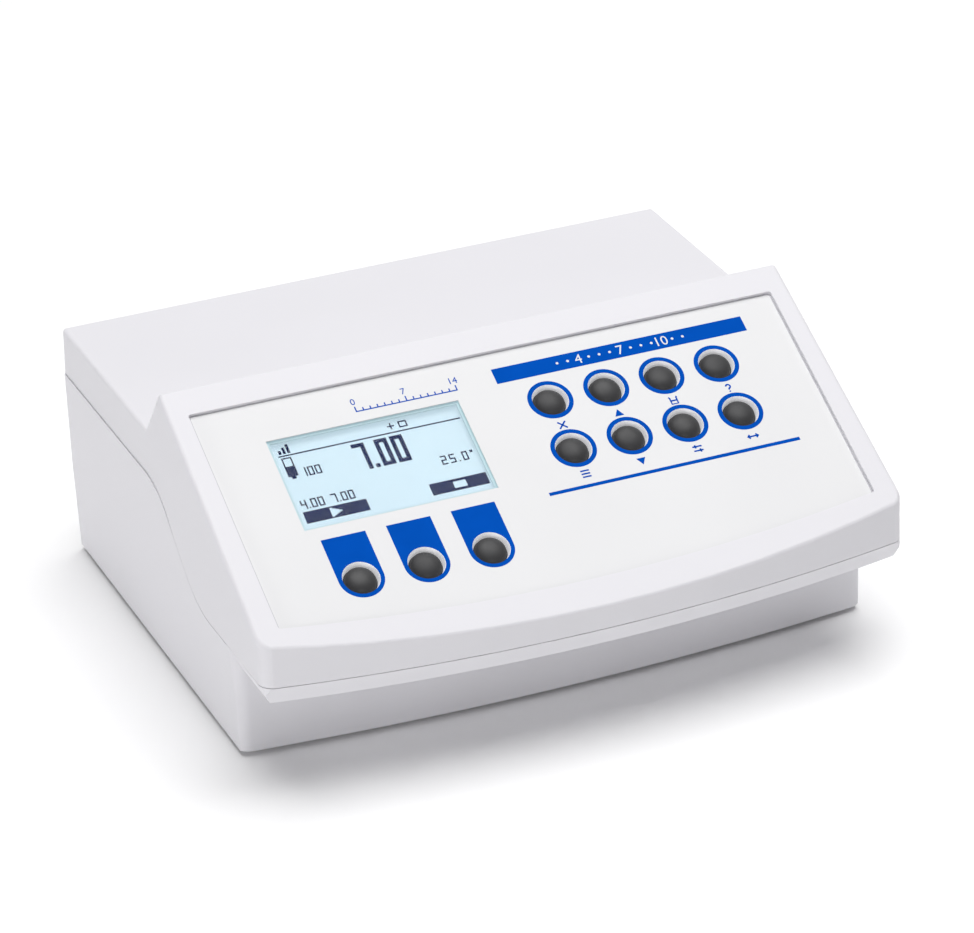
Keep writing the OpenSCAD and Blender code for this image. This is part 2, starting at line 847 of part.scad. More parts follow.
module pill_escape() at_key(0, 0) contact_pill();
module pill_up() at_key(1, 0) contact_pill();
module pill_calibrate() at_key(2, 0) contact_pill();
module pill_help() at_key(3, 0) contact_pill();
module pill_menu() at_key(0, 1) contact_pill();
module pill_down() at_key(1, 1) contact_pill();
module pill_setup() at_key(2, 1) contact_pill();
module pill_range() at_key(3, 1) contact_pill();
module pill_soft_left() at_soft(0) contact_pill();
module pill_soft_middle() at_soft(1) contact_pill();
module pill_soft_right() at_soft(2) contact_pill();

// Main board and what it carries

// The board is cut away at the back for the rocker's body
notch_gap = 1;
notch_w = switch_w + 2 * notch_gap;
module main_board() color("#1f6b3a") {
  difference() {
    translate([-board_w / 2, board_front, board_top - board_t]) cube([board_w, board_d, board_t]);
    translate([rocker_x - notch_w / 2, bay_y - switch_deep - past, board_top - 2 * board_t])
      cube([notch_w + board_w, switch_deep + 2 * past, 3 * board_t]);
    at_board_posts() translate([0, 0, board_top - 2 * board_t])
      cylinder(h = 3 * board_t, r = screw_r + pass_gap);
  }
}

module board_screws() color("silver") {
  at_board_posts() translate([0, 0, board_top])
    pan_screw(screw_r, screw_head_r, screw_head_h, screw_l);
  at_key_posts() translate([0, 0, -key_board_z - board_t]) mirror([0, 0, 1])
    pan_screw(screw_r, screw_head_r, screw_head_h, screw_l);
}

module on_board(x, y) {
  translate([x, board_front + y, board_top]) children();
}

// Each chip: place from the middle, place from the board's front edge, width, depth, height
chips = [[-20, 40, 14, 14, 1.4], [12, 36, 18, 8, 2.2], [-56, 24, 9, 7, 1.6], [44, 60, 10, 8, 1.6]];
module main_chips() color("#1c1c1e") {
  for (c = chips) on_board(c[0] - c[2] / 2, c[1] - c[3] / 2) cube([c[2], c[3], c[4]]);
}

// The can stands over the input stage, in line with the electrode socket
can_shift = 12;
can_y = 44;
can_w = 34;
can_d = 30;
can_h = 9;
can_t = 0.4;
module shield_can() color("silver") {
  on_board(electrode_x - can_w / 2 + can_shift, can_y) difference() {
    cube([can_w, can_d, can_h]);
    translate([can_t, can_t, -past]) cube([can_w - 2 * can_t, can_d - 2 * can_t, can_h - can_t + past]);
  }
}

cell_r = 10;
cell_t = 3.2;
cell_lift = 0.8;
cell_in = 22;
cell_x = board_w / 2 - cell_in;
cell_y = 34;
holder_wall = 1.6;
holder_h = cell_lift + cell_t * 0.7;
module cell_holder() color("#18181a") {
  on_board(cell_x, cell_y) difference() {
    cylinder(h = holder_h, r = cell_r + holder_wall);
    translate([0, 0, cell_lift]) cylinder(h = cell_t, r = cell_r + pass_gap);
    translate([0, -2 * cell_r, cell_lift]) cube([3 * cell_r, 4 * cell_r, cell_t]);
  }
}

module coin_cell() color("silver") {
  chamfer = 0.5;
  on_board(cell_x, cell_y) translate([0, 0, cell_lift]) rotate_extrude()
    polygon([[0, 0], [cell_r - chamfer, 0], [cell_r, chamfer], [cell_r, cell_t], [0, cell_t]]);
}

buzzer_x = 28;
buzzer_y = 14;
buzzer_r = 6;
buzzer_h = 7.5;
buzzer_hole_r = 1.2;
buzzer_hole_d = 2.5;
module buzzer() color("#1c1c1e") {
  on_board(buzzer_x, buzzer_y) difference() {
    cylinder(h = buzzer_h, r = buzzer_r);
    translate([0, 0, buzzer_h - buzzer_hole_d]) cylinder(h = buzzer_h, r = buzzer_hole_r);
  }
}

// Ribbon from the key board to the main board
ribbon_w = 25;
ribbon_t = 1;
ribbon_x = 48;
ribbon_up = 6;
ribbon_v = soft_v - ribbon_up;
header_t = 5;
header_h = 6;
header_w = ribbon_w + 2;
header_in = 8;
header_y = board_front + header_in;
function panel_point(v, z) = [ridge_y, case_h] + ray(180 + panel_tilt, v) + ray(90 + panel_tilt, z);
function bezier(p, t) = pow(1 - t, 3) * p[0] + 3 * t * pow(1 - t, 2) * p[1] + 3 * t * t * (1 - t) * p[2]
  + pow(t, 3) * p[3];
function bezier_slope(p, t) = pow(1 - t, 2) * (p[1] - p[0]) + 2 * t * (1 - t) * (p[2] - p[1])
  + t * t * (p[3] - p[2]);
function sideways(d) = [-d[1], d[0]] / norm(d);

module ribbon_cable() color("#b9bcc4") {
  steps = 12;
  bend = 30;
  start = panel_point(ribbon_v, -key_board_z - board_t - header_h);
  finish = [header_y, board_top + header_h];
  run = [start, start + ray(270 + panel_tilt, bend), finish + [0, bend], finish];
  spots = [for (i = [0 : steps]) i / steps];
  left = [for (t = spots) bezier(run, t) + sideways(bezier_slope(run, t)) * ribbon_t / 2];
  right = [for (i = [steps : -1 : 0])
    bezier(run, spots[i]) - sideways(bezier_slope(run, spots[i])) * ribbon_t / 2];
  translate([ribbon_x - ribbon_w / 2, 0, 0]) rotate([90, 0, 90]) linear_extrude(ribbon_w)
    polygon(concat(left, right));
}

module ribbon_headers() color("#202024") {
  at_panel(ribbon_x, ribbon_v)
    translate([-header_w / 2, -header_t / 2, -key_board_z - board_t - header_h])
      cube([header_w, header_t, header_h]);
  translate([ribbon_x - header_w / 2, header_y - header_t / 2, board_top])
    cube([header_w, header_t, header_h]);
}

// Sockets

// A block behind a socket that stands on the main board, from z back by depth
module socket_block(half, up, z, depth) {
  translate([-half, -up, z - depth]) cube([2 * half, up + axis_h, depth]);
}

electrode_barrel_r = 6.2;
electrode_thread = 3.6;
electrode_flange_r = 7.6;
electrode_flange_t = 2;
electrode_block_d = 11;
electrode_bore_r = 4.1;
electrode_floor = 1.5;
lug_r = 1;
lug_reach = 0.9;
lug_back = 5.2;
// The bayonet sleeve with its thread, flange, lugs and the block that stands on the board
module electrode_socket() color("silver") {
  on_bay(electrode_x) difference() {
    union() {
      translate([0, 0, -wall]) cylinder(h = wall + electrode_thread, r = electrode_barrel_r);
      cylinder(h = electrode_reach, r = electrode_r);
      translate([0, 0, -wall - electrode_flange_t])
        cylinder(h = electrode_flange_t, r = electrode_flange_r);
      socket_block(axis_h, axis_h, -wall - electrode_flange_t, electrode_block_d);
      for (side = [0, 180]) rotate([0, 0, side]) translate([0, 0, electrode_reach - lug_back])
        rotate([90, 0, 0]) cylinder(h = electrode_r + lug_reach, r = lug_r, $fn = 32);
    }
    translate([0, 0, electrode_floor]) cylinder(h = electrode_reach, r = electrode_bore_r);
  }
}

electrode_core_r = 2.4;
electrode_core_l = 6.4;
electrode_disc_t = 1;
electrode_contact_r = 1.05;
electrode_contact_l = 6;
electrode_pin_r = 0.68;
electrode_pin_l = 4.5;
module electrode_insulator() color("#f4f2ea") {
  hole_r = electrode_contact_r + fit_gap;
  on_bay(electrode_x) translate([0, 0, electrode_floor]) rotate_extrude() {
    translate([hole_r, 0]) square([electrode_bore_r - fit_gap - hole_r, electrode_disc_t]);
    translate([hole_r, 0]) square([electrode_core_r - hole_r, electrode_core_l]);
  }
}

module electrode_contact() color("#d4a73a") {
  on_bay(electrode_x) translate([0, 0, electrode_floor]) difference() {
    cylinder(h = electrode_contact_l, r = electrode_contact_r);
    translate([0, 0, electrode_contact_l - electrode_pin_l])
      cylinder(h = electrode_contact_l, r = electrode_pin_r);
  }
}

electrode_nut_w = 14;
electrode_nut_t = 2.6;
washer_t = 0.6;
washer_out = 1;
module electrode_nut() color("silver") {
  on_bay(electrode_x) difference() {
    union() {
      cylinder(h = washer_t, r = electrode_nut_w / 2 + washer_out);
      cylinder(h = electrode_nut_t, r = electrode_nut_w / sqrt(3), $fn = 6);
    }
    translate([0, 0, -past])
      cylinder(h = electrode_nut_t + 2 * past, r = electrode_barrel_r + fit_gap);
  }
}

reference_body_r = 4.2;
reference_flange = 1.6;
reference_reach = 4;
reference_depth = 13;
reference_block_d = 9;
reference_sleeve = 0.7;
reference_end = 2;
reference_sunk = 0.5;
reference_stop = 1;
module reference_socket() color("#1c1c20") {
  on_bay(reference_x) difference() {
    union() {
      translate([0, 0, -reference_depth])
        cylinder(h = reference_depth + reference_reach, r = reference_body_r);
      cylinder(h = reference_flange, r = reference_body_r + reference_flange);
      socket_block(reference_body_r, 0, reference_block_d - reference_depth, reference_block_d);
    }
    translate([0, 0, reference_end - reference_depth])
      cylinder(h = 2 * reference_depth, r = reference_r + reference_sleeve + fit_gap);
  }
}

module reference_contact() color("#d4a73a") {
  length = reference_depth + reference_reach - reference_end - reference_sunk;
  on_bay(reference_x) translate([0, 0, reference_end - reference_depth]) difference() {
    cylinder(h = length, r = reference_r + reference_sleeve);
    translate([0, 0, reference_stop]) cylinder(h = length, r = reference_r);
  }
}

temperature_reach = 9;
temperature_ring = 0.5;
temperature_end = 1;
temperature_block_w = 10;
temperature_block_d = 10;
temperature_disc_t = 1.5;
temperature_sleeve_r = 3.2;
temperature_pin_r = 1.65;
temperature_sunk = 0.6;
module temperature_socket() color("silver") {
  on_bay(temperature_x) {
    difference() {
      translate([0, 0, -wall - temperature_end])
        cylinder(h = temperature_reach + wall + temperature_end, r = temperature_r);
      translate([0, 0, -wall])
        cylinder(h = 2 * temperature_reach, r = temperature_r - temperature_ring);
    }
    socket_block(temperature_block_w / 2, temperature_block_w / 2, -wall - temperature_end,
      temperature_block_d);
  }
}

module temperature_insulator() color("#e8e4d8") {
  length = temperature_reach + wall - temperature_sunk;
  on_bay(temperature_x) translate([0, 0, -wall]) difference() {
    union() {
      cylinder(h = temperature_disc_t, r = temperature_r - temperature_ring - fit_gap);
      cylinder(h = length, r = temperature_sleeve_r);
    }
    translate([0, 0, temperature_disc_t]) cylinder(h = length, r = temperature_pin_r);
  }
}

usb_w = 12;
usb_h = 11;
usb_d = 16;
usb_mouth_w = 8.6;
usb_mouth_h = 7.9;
usb_mouth_d = 9;
usb_chamfer = 1.6;
usb_out = 0.8;
usb_tongue = [5.6, 3.2, 8.2];
module computer_socket() color("silver") {
  x = usb_mouth_w / 2;
  y = usb_mouth_h / 2;
  on_bay(computer_x) difference() {
    union() {
      translate([-usb_w / 2, -usb_h / 2, usb_out - usb_d]) cube([usb_w, usb_h, usb_d]);
      socket_block(usb_w / 2, 0, -wall - pass_gap, usb_d - usb_out - wall - pass_gap);
    }
    translate([0, 0, usb_out - usb_mouth_d]) linear_extrude(usb_d) polygon([
      [-x, y], [x, y], [x, usb_chamfer - y], [x - usb_chamfer, -y], [usb_chamfer - x, -y],
      [-x, usb_chamfer - y]]);
  }
}

module computer_tongue() color("#f0f0ec") {
  on_bay(computer_x) translate([-usb_tongue[0] / 2, -usb_tongue[1] / 2, usb_out - usb_mouth_d])
    cube(usb_tongue);
}

power_rim = 1.3;
power_nose_r = power_r + power_rim;
power_out = 0.8;
power_root = 0.5;
power_block_z = 14;
power_deep = 9.5;
power_pin_sunk = 1;
power_pin_tip = 0.4;
module power_socket() color("#1a1a1c") {
  on_bay(power_x) difference() {
    union() {
      translate([0, 0, -wall - power_root])
        cylinder(h = wall + power_root + power_out, r = power_nose_r);
      socket_block(power_nose_r, power_nose_r, -wall - pass_gap, power_block_z - wall - pass_gap);
    }
    translate([0, 0, power_out - power_deep]) cylinder(h = 2 * power_deep, r = power_r);
  }
}

module power_pin() color("#c8c8cc") {
  length = power_deep - power_pin_sunk;
  on_bay(power_x) translate([0, 0, power_out - power_deep]) rotate_extrude()
    polygon([[0, 0], [power_pin_r, 0], [power_pin_r, length - power_pin_tip],
      [power_pin_r - power_pin_tip, length], [0, length]]);
}

// On-off rocker: its body snaps into the bay, and the rocker turns on a level pin
switch_flange = 1.6;
switch_deep = 13;
switch_floor = 1.5;
rocker_pin_r = 1.2;
rocker_pin_gap = 0.1;
rocker_gap = 0.35;
rocker_axis = -2.2;
module rocker_body() color("#1a1a1c") {
  inner = [switch_w - 2 * switch_wall, switch_h - 2 * switch_wall, 2 * switch_deep];
  on_bay(rocker_x) difference() {
    union() {
      linear_extrude(switch_flange)
        square([switch_w + 2 * switch_flange, switch_h + 2 * switch_flange], center = true);
      translate([-switch_w / 2, -switch_h / 2, -switch_deep])
        cube([switch_w, switch_h, switch_deep]);
    }
    translate([-inner[0] / 2, -inner[1] / 2, switch_floor - switch_deep]) cube(inner);
    translate([0, 0, rocker_axis]) rotate([0, 90, 0])
      cylinder(h = 2 * switch_w, r = rocker_pin_r + fit_gap, center = true);
  }
}

// The rocker's side view: a dished top, square ends and a keel that narrows below the pin
rocker_end_gap = 1.15;
rocker_crest = 4.6;
rocker_side = 1;
rocker_keel = 4;
rocker_keel_d = 4.5;
dish_d = 1.1;
dish_r = 60;
module power_rocker() color("#242428") {
  w = switch_w - 2 * switch_wall - 2 * rocker_gap;
  reach = switch_h / 2 - switch_wall - rocker_end_gap;
  on_bay(rocker_x) translate([0, 0, rocker_axis]) rotate([rocker_swing / 2, 0, 0]) {
    rotate([0, 90, 0]) cylinder(h = switch_w - 2 * rocker_pin_gap, r = rocker_pin_r, center = true);
    translate([-w / 2, 0, 0]) rotate([90, 0, 90]) linear_extrude(w) difference() {
      polygon([[-reach, rocker_crest], [-reach, rocker_side], [-rocker_keel, -rocker_keel_d],
        [rocker_keel, -rocker_keel_d], [reach, rocker_side], [reach, rocker_crest]]);
      translate([0, rocker_crest - dish_d + dish_r]) circle(dish_r, $fn = 180);
    }
  }
}

base_tub();
top_cover();
panel_overlay();
display_window();
lcd_bezel();
lcd_glass();
lcd_backlight();
lcd_board();
keypad_mat();
keypad_board();
main_board();
main_chips();
shield_can();
cell_holder();
coin_cell();
buzzer();
ribbon_cable();
ribbon_headers();
electrode_socket();
electrode_insulator();
electrode_contact();
electrode_nut();
reference_socket();
reference_contact();
temperature_socket();
temperature_insulator();
computer_socket();
computer_tongue();
power_socket();
power_pin();
rocker_body();
power_rocker();
rubber_feet();
case_screws();
lcd_screws();
board_screws();
key_escape();
key_up();
key_calibrate();
key_help();
key_menu();
key_down();
key_setup();
key_range();
soft_key_left();
soft_key_middle();
soft_key_right();
pill_escape();
pill_up();
pill_calibrate();
pill_help();
pill_menu();
pill_down();
pill_setup();
pill_range();
pill_soft_left();
pill_soft_middle();
pill_soft_right();
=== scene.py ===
"""Looks of a bench pH meter: a stepped two-shell housing, a printed key panel, a dot display and rear sockets."""

import json
import logging
import math
from dataclasses import dataclass
from enum import Enum
from typing import Dict, List, Optional, Sequence, Tuple

import bmesh
import bpy
import numpy as np
from mathutils import Matrix, Vector
from mathutils.geometry import convex_hull_2d

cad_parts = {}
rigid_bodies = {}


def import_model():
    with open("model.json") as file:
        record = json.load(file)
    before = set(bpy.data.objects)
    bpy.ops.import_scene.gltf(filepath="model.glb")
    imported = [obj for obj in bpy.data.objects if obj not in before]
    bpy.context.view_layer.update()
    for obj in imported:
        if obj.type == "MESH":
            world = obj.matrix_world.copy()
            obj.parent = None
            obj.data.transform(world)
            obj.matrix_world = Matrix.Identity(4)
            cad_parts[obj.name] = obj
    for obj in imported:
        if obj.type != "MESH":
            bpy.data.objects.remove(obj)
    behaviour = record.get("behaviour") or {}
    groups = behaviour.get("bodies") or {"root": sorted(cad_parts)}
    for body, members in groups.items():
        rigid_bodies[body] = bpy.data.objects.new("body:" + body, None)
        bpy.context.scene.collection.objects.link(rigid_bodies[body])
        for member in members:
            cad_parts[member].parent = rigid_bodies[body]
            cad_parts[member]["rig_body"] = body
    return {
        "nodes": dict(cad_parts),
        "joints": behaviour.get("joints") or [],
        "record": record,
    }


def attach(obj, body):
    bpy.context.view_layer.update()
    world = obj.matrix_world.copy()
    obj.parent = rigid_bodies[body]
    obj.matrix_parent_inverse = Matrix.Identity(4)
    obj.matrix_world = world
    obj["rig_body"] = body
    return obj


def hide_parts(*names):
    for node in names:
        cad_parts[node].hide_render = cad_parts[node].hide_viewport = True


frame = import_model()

LOG = logging.getLogger("ph_meter")
MM = 0.001
HOUSING = "housing"
# Points of the CAD meshes that lie nearer than this are one point, in metres.
CAD_MERGE_M = 1e-6
# Height of a figure over the size of its type.
FIGURE_SHARE = 0.7
# Spread of a dusty bloom over a surface.
BLOOM_ROUGHNESS = 0.5


class Slot(Enum):
    """Material slots of the record."""

    TUB = "tub_plastic"
    COVER = "cover_plastic"
    FILM = "overlay_film"
    WINDOW = "window_plate"
    GLASS = "display_glass"
    LIGHT_GUIDE = "light_guide"
    BLACK_STEEL = "black_steel"
    BOARD = "circuit_board"
    SILICONE = "silicone"
    CARBON = "carbon"
    BLACK_PLASTIC = "black_plastic"
    TIN = "tinned_steel"
    NICKEL = "nickel"
    GOLD = "gold_plate"
    INSULATOR = "white_insulator"
    RIBBON = "ribbon"
    FEET = "foot_rubber"
    SCREW = "screw_steel"


def linear(code: str) -> Tuple[float, float, float, float]:
    """Turns an sRGB hex colour into linear values.

    Args:
        code: Six hex digits after a hash sign.

    Returns:
        Red, green, blue and an alpha of one.
    """
    srgb = np.array([int(code[i:i + 2], 16) for i in (1, 3, 5)]) / 255.0
    flat = np.where(srgb <= 0.04045, srgb / 12.92, ((srgb + 0.055) / 1.055) ** 2.4)
    return (float(flat[0]), float(flat[1]), float(flat[2]), 1.0)


def add_node(tree: bpy.types.NodeTree, kind: str, inputs: Optional[dict] = None, **settings) -> bpy.types.Node:
    """Adds a node with its settings, its values and its links.

    Args:
        tree: The node tree that gets the node.
        kind: Blender's name for the node.
        inputs: Socket name or identifier to a value, or to the output socket that is linked to it.
        settings: Attributes of the node, set first.

    Returns:
        The new node.
    """
    node = tree.nodes.new(kind)
    for name, value in settings.items():
        setattr(node, name, value)
    for name, value in (inputs or {}).items():
        socket = next(s for s in node.inputs if name in (s.identifier, s.name))
        if isinstance(value, bpy.types.NodeSocket):
            tree.links.new(value, socket)
        else:
            socket.default_value = value
    return node


@dataclass(frozen=True)
class Finish:
    """A moulded, pressed or printed surface: its colour drifts a little and a fine grain breaks its gloss."""

    name: str
    colour: str
    roughness: float = 0.5
    ior: float = 1.5
    metallic: float = 0.0
    grain_mm: float = 0.7
    depth_mm: float = 0.01
    patch_mm: float = 45.0
    drift: float = 0.02
    gloss_drift: float = 0.05
    glow: float = 0.0
    shine: float = 0.5
    bloom: float = 0.0

    def make(self) -> bpy.types.Material:
        """Builds the material once and hands the same one out afterwards.

        Returns:
            The material of this finish.
        """
        made = bpy.data.materials.get(self.name)
        if made is not None:
            return made
        made = bpy.data.materials.new(self.name)
        made.use_nodes = True
        made.diffuse_color = linear(self.colour)
        tree = made.node_tree
        tree.nodes.clear()
        where = add_node(tree, "ShaderNodeTexCoord").outputs["Object"]
        shader = add_node(tree, "ShaderNodeBsdfPrincipled",
                          {"Metallic": self.metallic, "IOR": self.ior, "Specular IOR Level": self.shine,
                           "Sheen Weight": self.bloom, "Sheen Roughness": BLOOM_ROUGHNESS})
        self.dress(tree, where, shader)
        add_node(tree, "ShaderNodeOutputMaterial", {"Surface": self.surface(tree, shader)})
        return made

    def dress(self, tree: bpy.types.NodeTree, where: bpy.types.NodeSocket, shader: bpy.types.Node) -> None:
        """Links colour, roughness and relief to the shader.

        Args:
            tree: The material's node tree.
            where: Object coordinates.
            shader: The principled shader that is dressed.
        """
        patch = add_node(tree, "ShaderNodeTexNoise",
                         {"Vector": where, "Scale": 1.0 / (self.patch_mm * MM), "Detail": 3.0}).outputs["Fac"]
        grain = add_node(tree, "ShaderNodeTexNoise",
                         {"Vector": where, "Scale": 1.0 / (self.grain_mm * MM), "Detail": 2.0}).outputs["Fac"]
        colour = self.paint(tree, where, patch)
        gloss = add_node(tree, "ShaderNodeMapRange",
                         {"Value": patch, "From Min": 0.3, "From Max": 0.7,
                          "To Min": max(self.roughness - self.gloss_drift, 0.02),
                          "To Max": min(self.roughness + self.gloss_drift, 1.0)})
        relief = add_node(tree, "ShaderNodeBump",
                          {"Height": grain, "Distance": self.depth_mm * MM, "Strength": 1.0})
        tree.links.new(colour, shader.inputs["Base Color"])
        tree.links.new(gloss.outputs["Result"], shader.inputs["Roughness"])
        tree.links.new(relief.outputs["Normal"], shader.inputs["Normal"])
        if self.glow:
            tree.links.new(colour, shader.inputs["Emission Color"])
            shader.inputs["Emission Strength"].default_value = self.glow

    def paint(self, tree: bpy.types.NodeTree, where: bpy.types.NodeSocket,
              patch: bpy.types.NodeSocket) -> bpy.types.NodeSocket:
        """Colour that drifts by a few parts in a hundred over wide patches.

        Args:
            tree: The material's node tree.
            where: Object coordinates; not used here.
            patch: Slow noise.

        Returns:
            The colour's output socket.
        """
        level = add_node(tree, "ShaderNodeMapRange",
                         {"Value": patch, "From Min": 0.3, "From Max": 0.7,
                          "To Min": 1.0 - self.drift, "To Max": 1.0 + self.drift})
        return add_node(tree, "ShaderNodeHueSaturation",
                        {"Color": linear(self.colour), "Value": level.outputs["Result"]}).outputs["Color"]

    def surface(self, tree: bpy.types.NodeTree, shader: bpy.types.Node) -> bpy.types.NodeSocket:
        """The shader's own output."""
        return shader.outputs["BSDF"]


@dataclass(frozen=True)
class ClearPlate(Finish):
    """A clear moulded plate: it bends light and lets lamps shine through to what is behind it."""

    def dress(self, tree: bpy.types.NodeTree, where: bpy.types.NodeSocket, shader: bpy.types.Node) -> None:
        """Clear throughout, with faint smears in its gloss."""
        super().dress(tree, where, shader)
        shader.inputs["Transmission Weight"].default_value = 1.0

    def surface(self, tree: bpy.types.NodeTree, shader: bpy.types.Node) -> bpy.types.NodeSocket:
        """The plate for the eye, nothing for shadows.

        Args:
            tree: The material's node tree.
            shader: The principled shader.

        Returns:
            The mixed shader's output.
        """
        path = add_node(tree, "ShaderNodeLightPath").outputs["Is Shadow Ray"]
        clear = add_node(tree, "ShaderNodeBsdfTransparent")
        mix = add_node(tree, "ShaderNodeMixShader", {"Fac": path})
        tree.links.new(shader.outputs["BSDF"], mix.inputs[1])
        tree.links.new(clear.outputs["BSDF"], mix.inputs[2])
        return mix.outputs["Shader"]


@dataclass(frozen=True)
class StripedFinish(Finish):
    """A surface with parallel stripes of a second colour, such as flat cable or board tracks."""

    second: str = "#FFFFFF"
    pitch_mm: float = 1.27
    axis: str = "X"
    share: float = 0.5
    bend: float = 0.0

    def paint(self, tree: bpy.types.NodeTree, where: bpy.types.NodeSocket,
              patch: bpy.types.NodeSocket) -> bpy.types.NodeSocket:
        """Stripes one pitch apart; the wave texture has a period of 0.1 pi over its scale.

        Args:
            tree: The material's node tree.
            where: Object coordinates.
            patch: Slow noise.

        Returns:
            The colour's output socket.
        """
        base = super().paint(tree, where, patch)
        wave = add_node(tree, "ShaderNodeTexWave",
                        {"Vector": where, "Scale": math.pi / 10.0 / (self.pitch_mm * MM),
                         "Distortion": self.bend, "Detail": 1.0, "Detail Scale": 0.6},
                        bands_direction=self.axis)
        mask = add_node(tree, "ShaderNodeMapRange",
                        {"Value": wave.outputs["Fac"], "From Min": self.share - 0.08, "From Max": self.share + 0.08})
        mix = add_node(tree, "ShaderNodeMix",
                       {"Factor_Float": mask.outputs["Result"], "A_Color": base, "B_Color": linear(self.second)},
                       data_type="RGBA")
        return next(s for s in mix.outputs if s.identifier == "Result_Color")


@dataclass(frozen=True)
class DrawnMetal(Finish):
    """Plated or rolled metal: fine lines along one way stretch the highlights."""

    metallic: float = 1.0
    stretch: Tuple[float, float, float] = (1.0, 0.12, 1.0)

    def dress(self, tree: bpy.types.NodeTree, where: bpy.types.NodeSocket, shader: bpy.types.Node) -> None:
        """Squeezes the grain across its run before the common dressing."""
        run = add_node(tree, "ShaderNodeMapping", {"Vector": where, "Scale": self.stretch}).outputs["Vector"]
        super().dress(tree, run, shader)


@dataclass(frozen=True)
class WhitePaper(Finish):
    """The studio's sheet, which the eye sees a little whiter than it lights the object."""

    lift: float = 0.02

    def dress(self, tree: bpy.types.NodeTree, where: bpy.types.NodeSocket, shader: bpy.types.Node) -> None:
        """Adds the lift for what the camera sees directly.

        Args:
            tree: The material's node tree.
            where: Object coordinates.
            shader: The principled shader that is dressed.
        """
        super().dress(tree, where, shader)
        seen = add_node(tree, "ShaderNodeLightPath").outputs["Is Camera Ray"]
        lift = add_node(tree, "ShaderNodeMath", {"Value": seen, "Value_001": self.lift}, operation="MULTIPLY")
        shader.inputs["Emission Color"].default_value = linear("#FFFFFF")
        tree.links.new(lift.outputs["Value"], shader.inputs["Emission Strength"])


# Moulded ABS: an eroded mould leaves a fine matt texture, so white plastic shades softly with no hard gloss.
COVER_ABS = Finish("moulded_abs_white", "#DAD9DD", roughness=0.48, grain_mm=0.55, depth_mm=0.006, drift=0.008,
                   shine=0.32)
# The same plastic as a collar round each key, lighter than the cover and glowing: painted light that keeps its shaded
# side pale.
WELL_ABS_PAINTED_GLOW = Finish("moulded_abs_white_painted_glow", "#EEEEF1", roughness=0.5, grain_mm=0.55, depth_mm=0.004, drift=0.008,
                  glow=0.4)
# The tub's plastic: the same compound from a mould with the same fine texture.
TUB_ABS = Finish("moulded_abs_pale_grey", "#DAD9DD", roughness=0.5, grain_mm=0.55, depth_mm=0.006, drift=0.01)
# Printed polyester film: satin hard coat over a flat white, a touch brighter than the moulding round it.
FILM = Finish("satin_polyester_film", "#D4D4D5", roughness=0.38, ior=1.58, grain_mm=0.4, depth_mm=0.003, drift=0.006,
              shine=0.36)
# Painted shade: a grey band along the film's edge that stands for the shade in the gap between the film and its
# recess.
FILM_GAP_SHADE = Finish("film_gap_painted_shade", "#B4B3B8", roughness=0.6, grain_mm=0.3, depth_mm=0.003, drift=0.04, shine=0.1)
# Screen-printed ink under a satin coat: even, saturated, slightly mottled by the mesh.
BLUE_INK = Finish("screen_ink_blue", "#054EB1", roughness=0.6, ior=1.5, grain_mm=0.3, depth_mm=0.003, patch_mm=12.0,
                  drift=0.05, shine=0.0)
# White screen ink: opaque over the blue, dull.
WHITE_INK = Finish("screen_ink_white", "#E0E0E0", roughness=0.5, grain_mm=0.3, depth_mm=0.003, drift=0.01, shine=0.1)
# Clear acrylic with a coat against reflections, which lowers its index: a faint sheen and nothing else.
CLEAR_ACRYLIC = ClearPlate("clear_acrylic", "#F9FDFF", roughness=0.05, ior=1.12, grain_mm=6.0, depth_mm=0.001,
                           drift=0.004, gloss_drift=0.02)
# Liquid crystal glass over its light guide: pale cyan, lit evenly from behind.
CRYSTAL_GLASS = Finish("liquid_crystal_glass", "#464E52", roughness=0.4, ior=1.5, grain_mm=0.52, depth_mm=0.002,
                       patch_mm=30.0, drift=0.02, glow=8.0, shine=0.1)
# Switched dots: dark navy seen through the polariser.
CRYSTAL_DOTS = Finish("liquid_crystal_dots", "#040F30", roughness=0.6, grain_mm=0.5, depth_mm=0.002, patch_mm=6.0,
                      drift=0.12, shine=0.05)
# Acrylic rim of the display, tinted cyan and glowing: painted light from the display falling on the window's walls.
RIM_PAINTED_LIGHT = Finish("rim_painted_display_light", "#96ACB2", roughness=0.45, ior=1.49, grain_mm=0.8, depth_mm=0.004,
                    patch_mm=20.0, drift=0.03, glow=0.55, shine=0.2)
# Milky acrylic: soft and faintly warm.
LIGHT_GUIDE = Finish("milky_acrylic", "#EFF2EA", roughness=0.4, ior=1.49, drift=0.02, glow=0.1)
# Blackened sheet steel: dull, with faint rolling marks.
BLACK_STEEL = DrawnMetal("black_oxide_steel", "#34353A", roughness=0.45, grain_mm=0.4, depth_mm=0.004, drift=0.06)
# Glass-epoxy board: green resist over copper tracks that show as lighter lines.
BOARD = StripedFinish("green_resist_board", "#1C5B34", roughness=0.35, grain_mm=0.35, depth_mm=0.004, drift=0.05,
                      second="#2F7A48", pitch_mm=2.54, share=0.7, bend=1.4)
# Moulded silicone rubber: matt, with a soft light patch on the crown and a faint dusty bloom.
SILICONE = Finish("moulded_silicone_black", "#1D1D1F", roughness=0.5, ior=1.41, grain_mm=0.45, depth_mm=0.012,
                  patch_mm=9.0, drift=0.1, gloss_drift=0.08, shine=0.5, bloom=0.06)
# Carbon-filled silicone: dead black.
CARBON = Finish("carbon_silicone", "#151517", roughness=0.75, grain_mm=0.2, depth_mm=0.008, drift=0.1)
# Moulded black plastic: satin with a fine spark texture.
BLACK_PLASTIC = Finish("moulded_nylon_black", "#1D1D20", roughness=0.45, grain_mm=0.35, depth_mm=0.008,
                       patch_mm=15.0, drift=0.1)
# Bright tin plate: soft silver with rolling marks.
TIN = DrawnMetal("tin_plate", "#C6C7CA", roughness=0.3, grain_mm=0.25, depth_mm=0.003, drift=0.04)
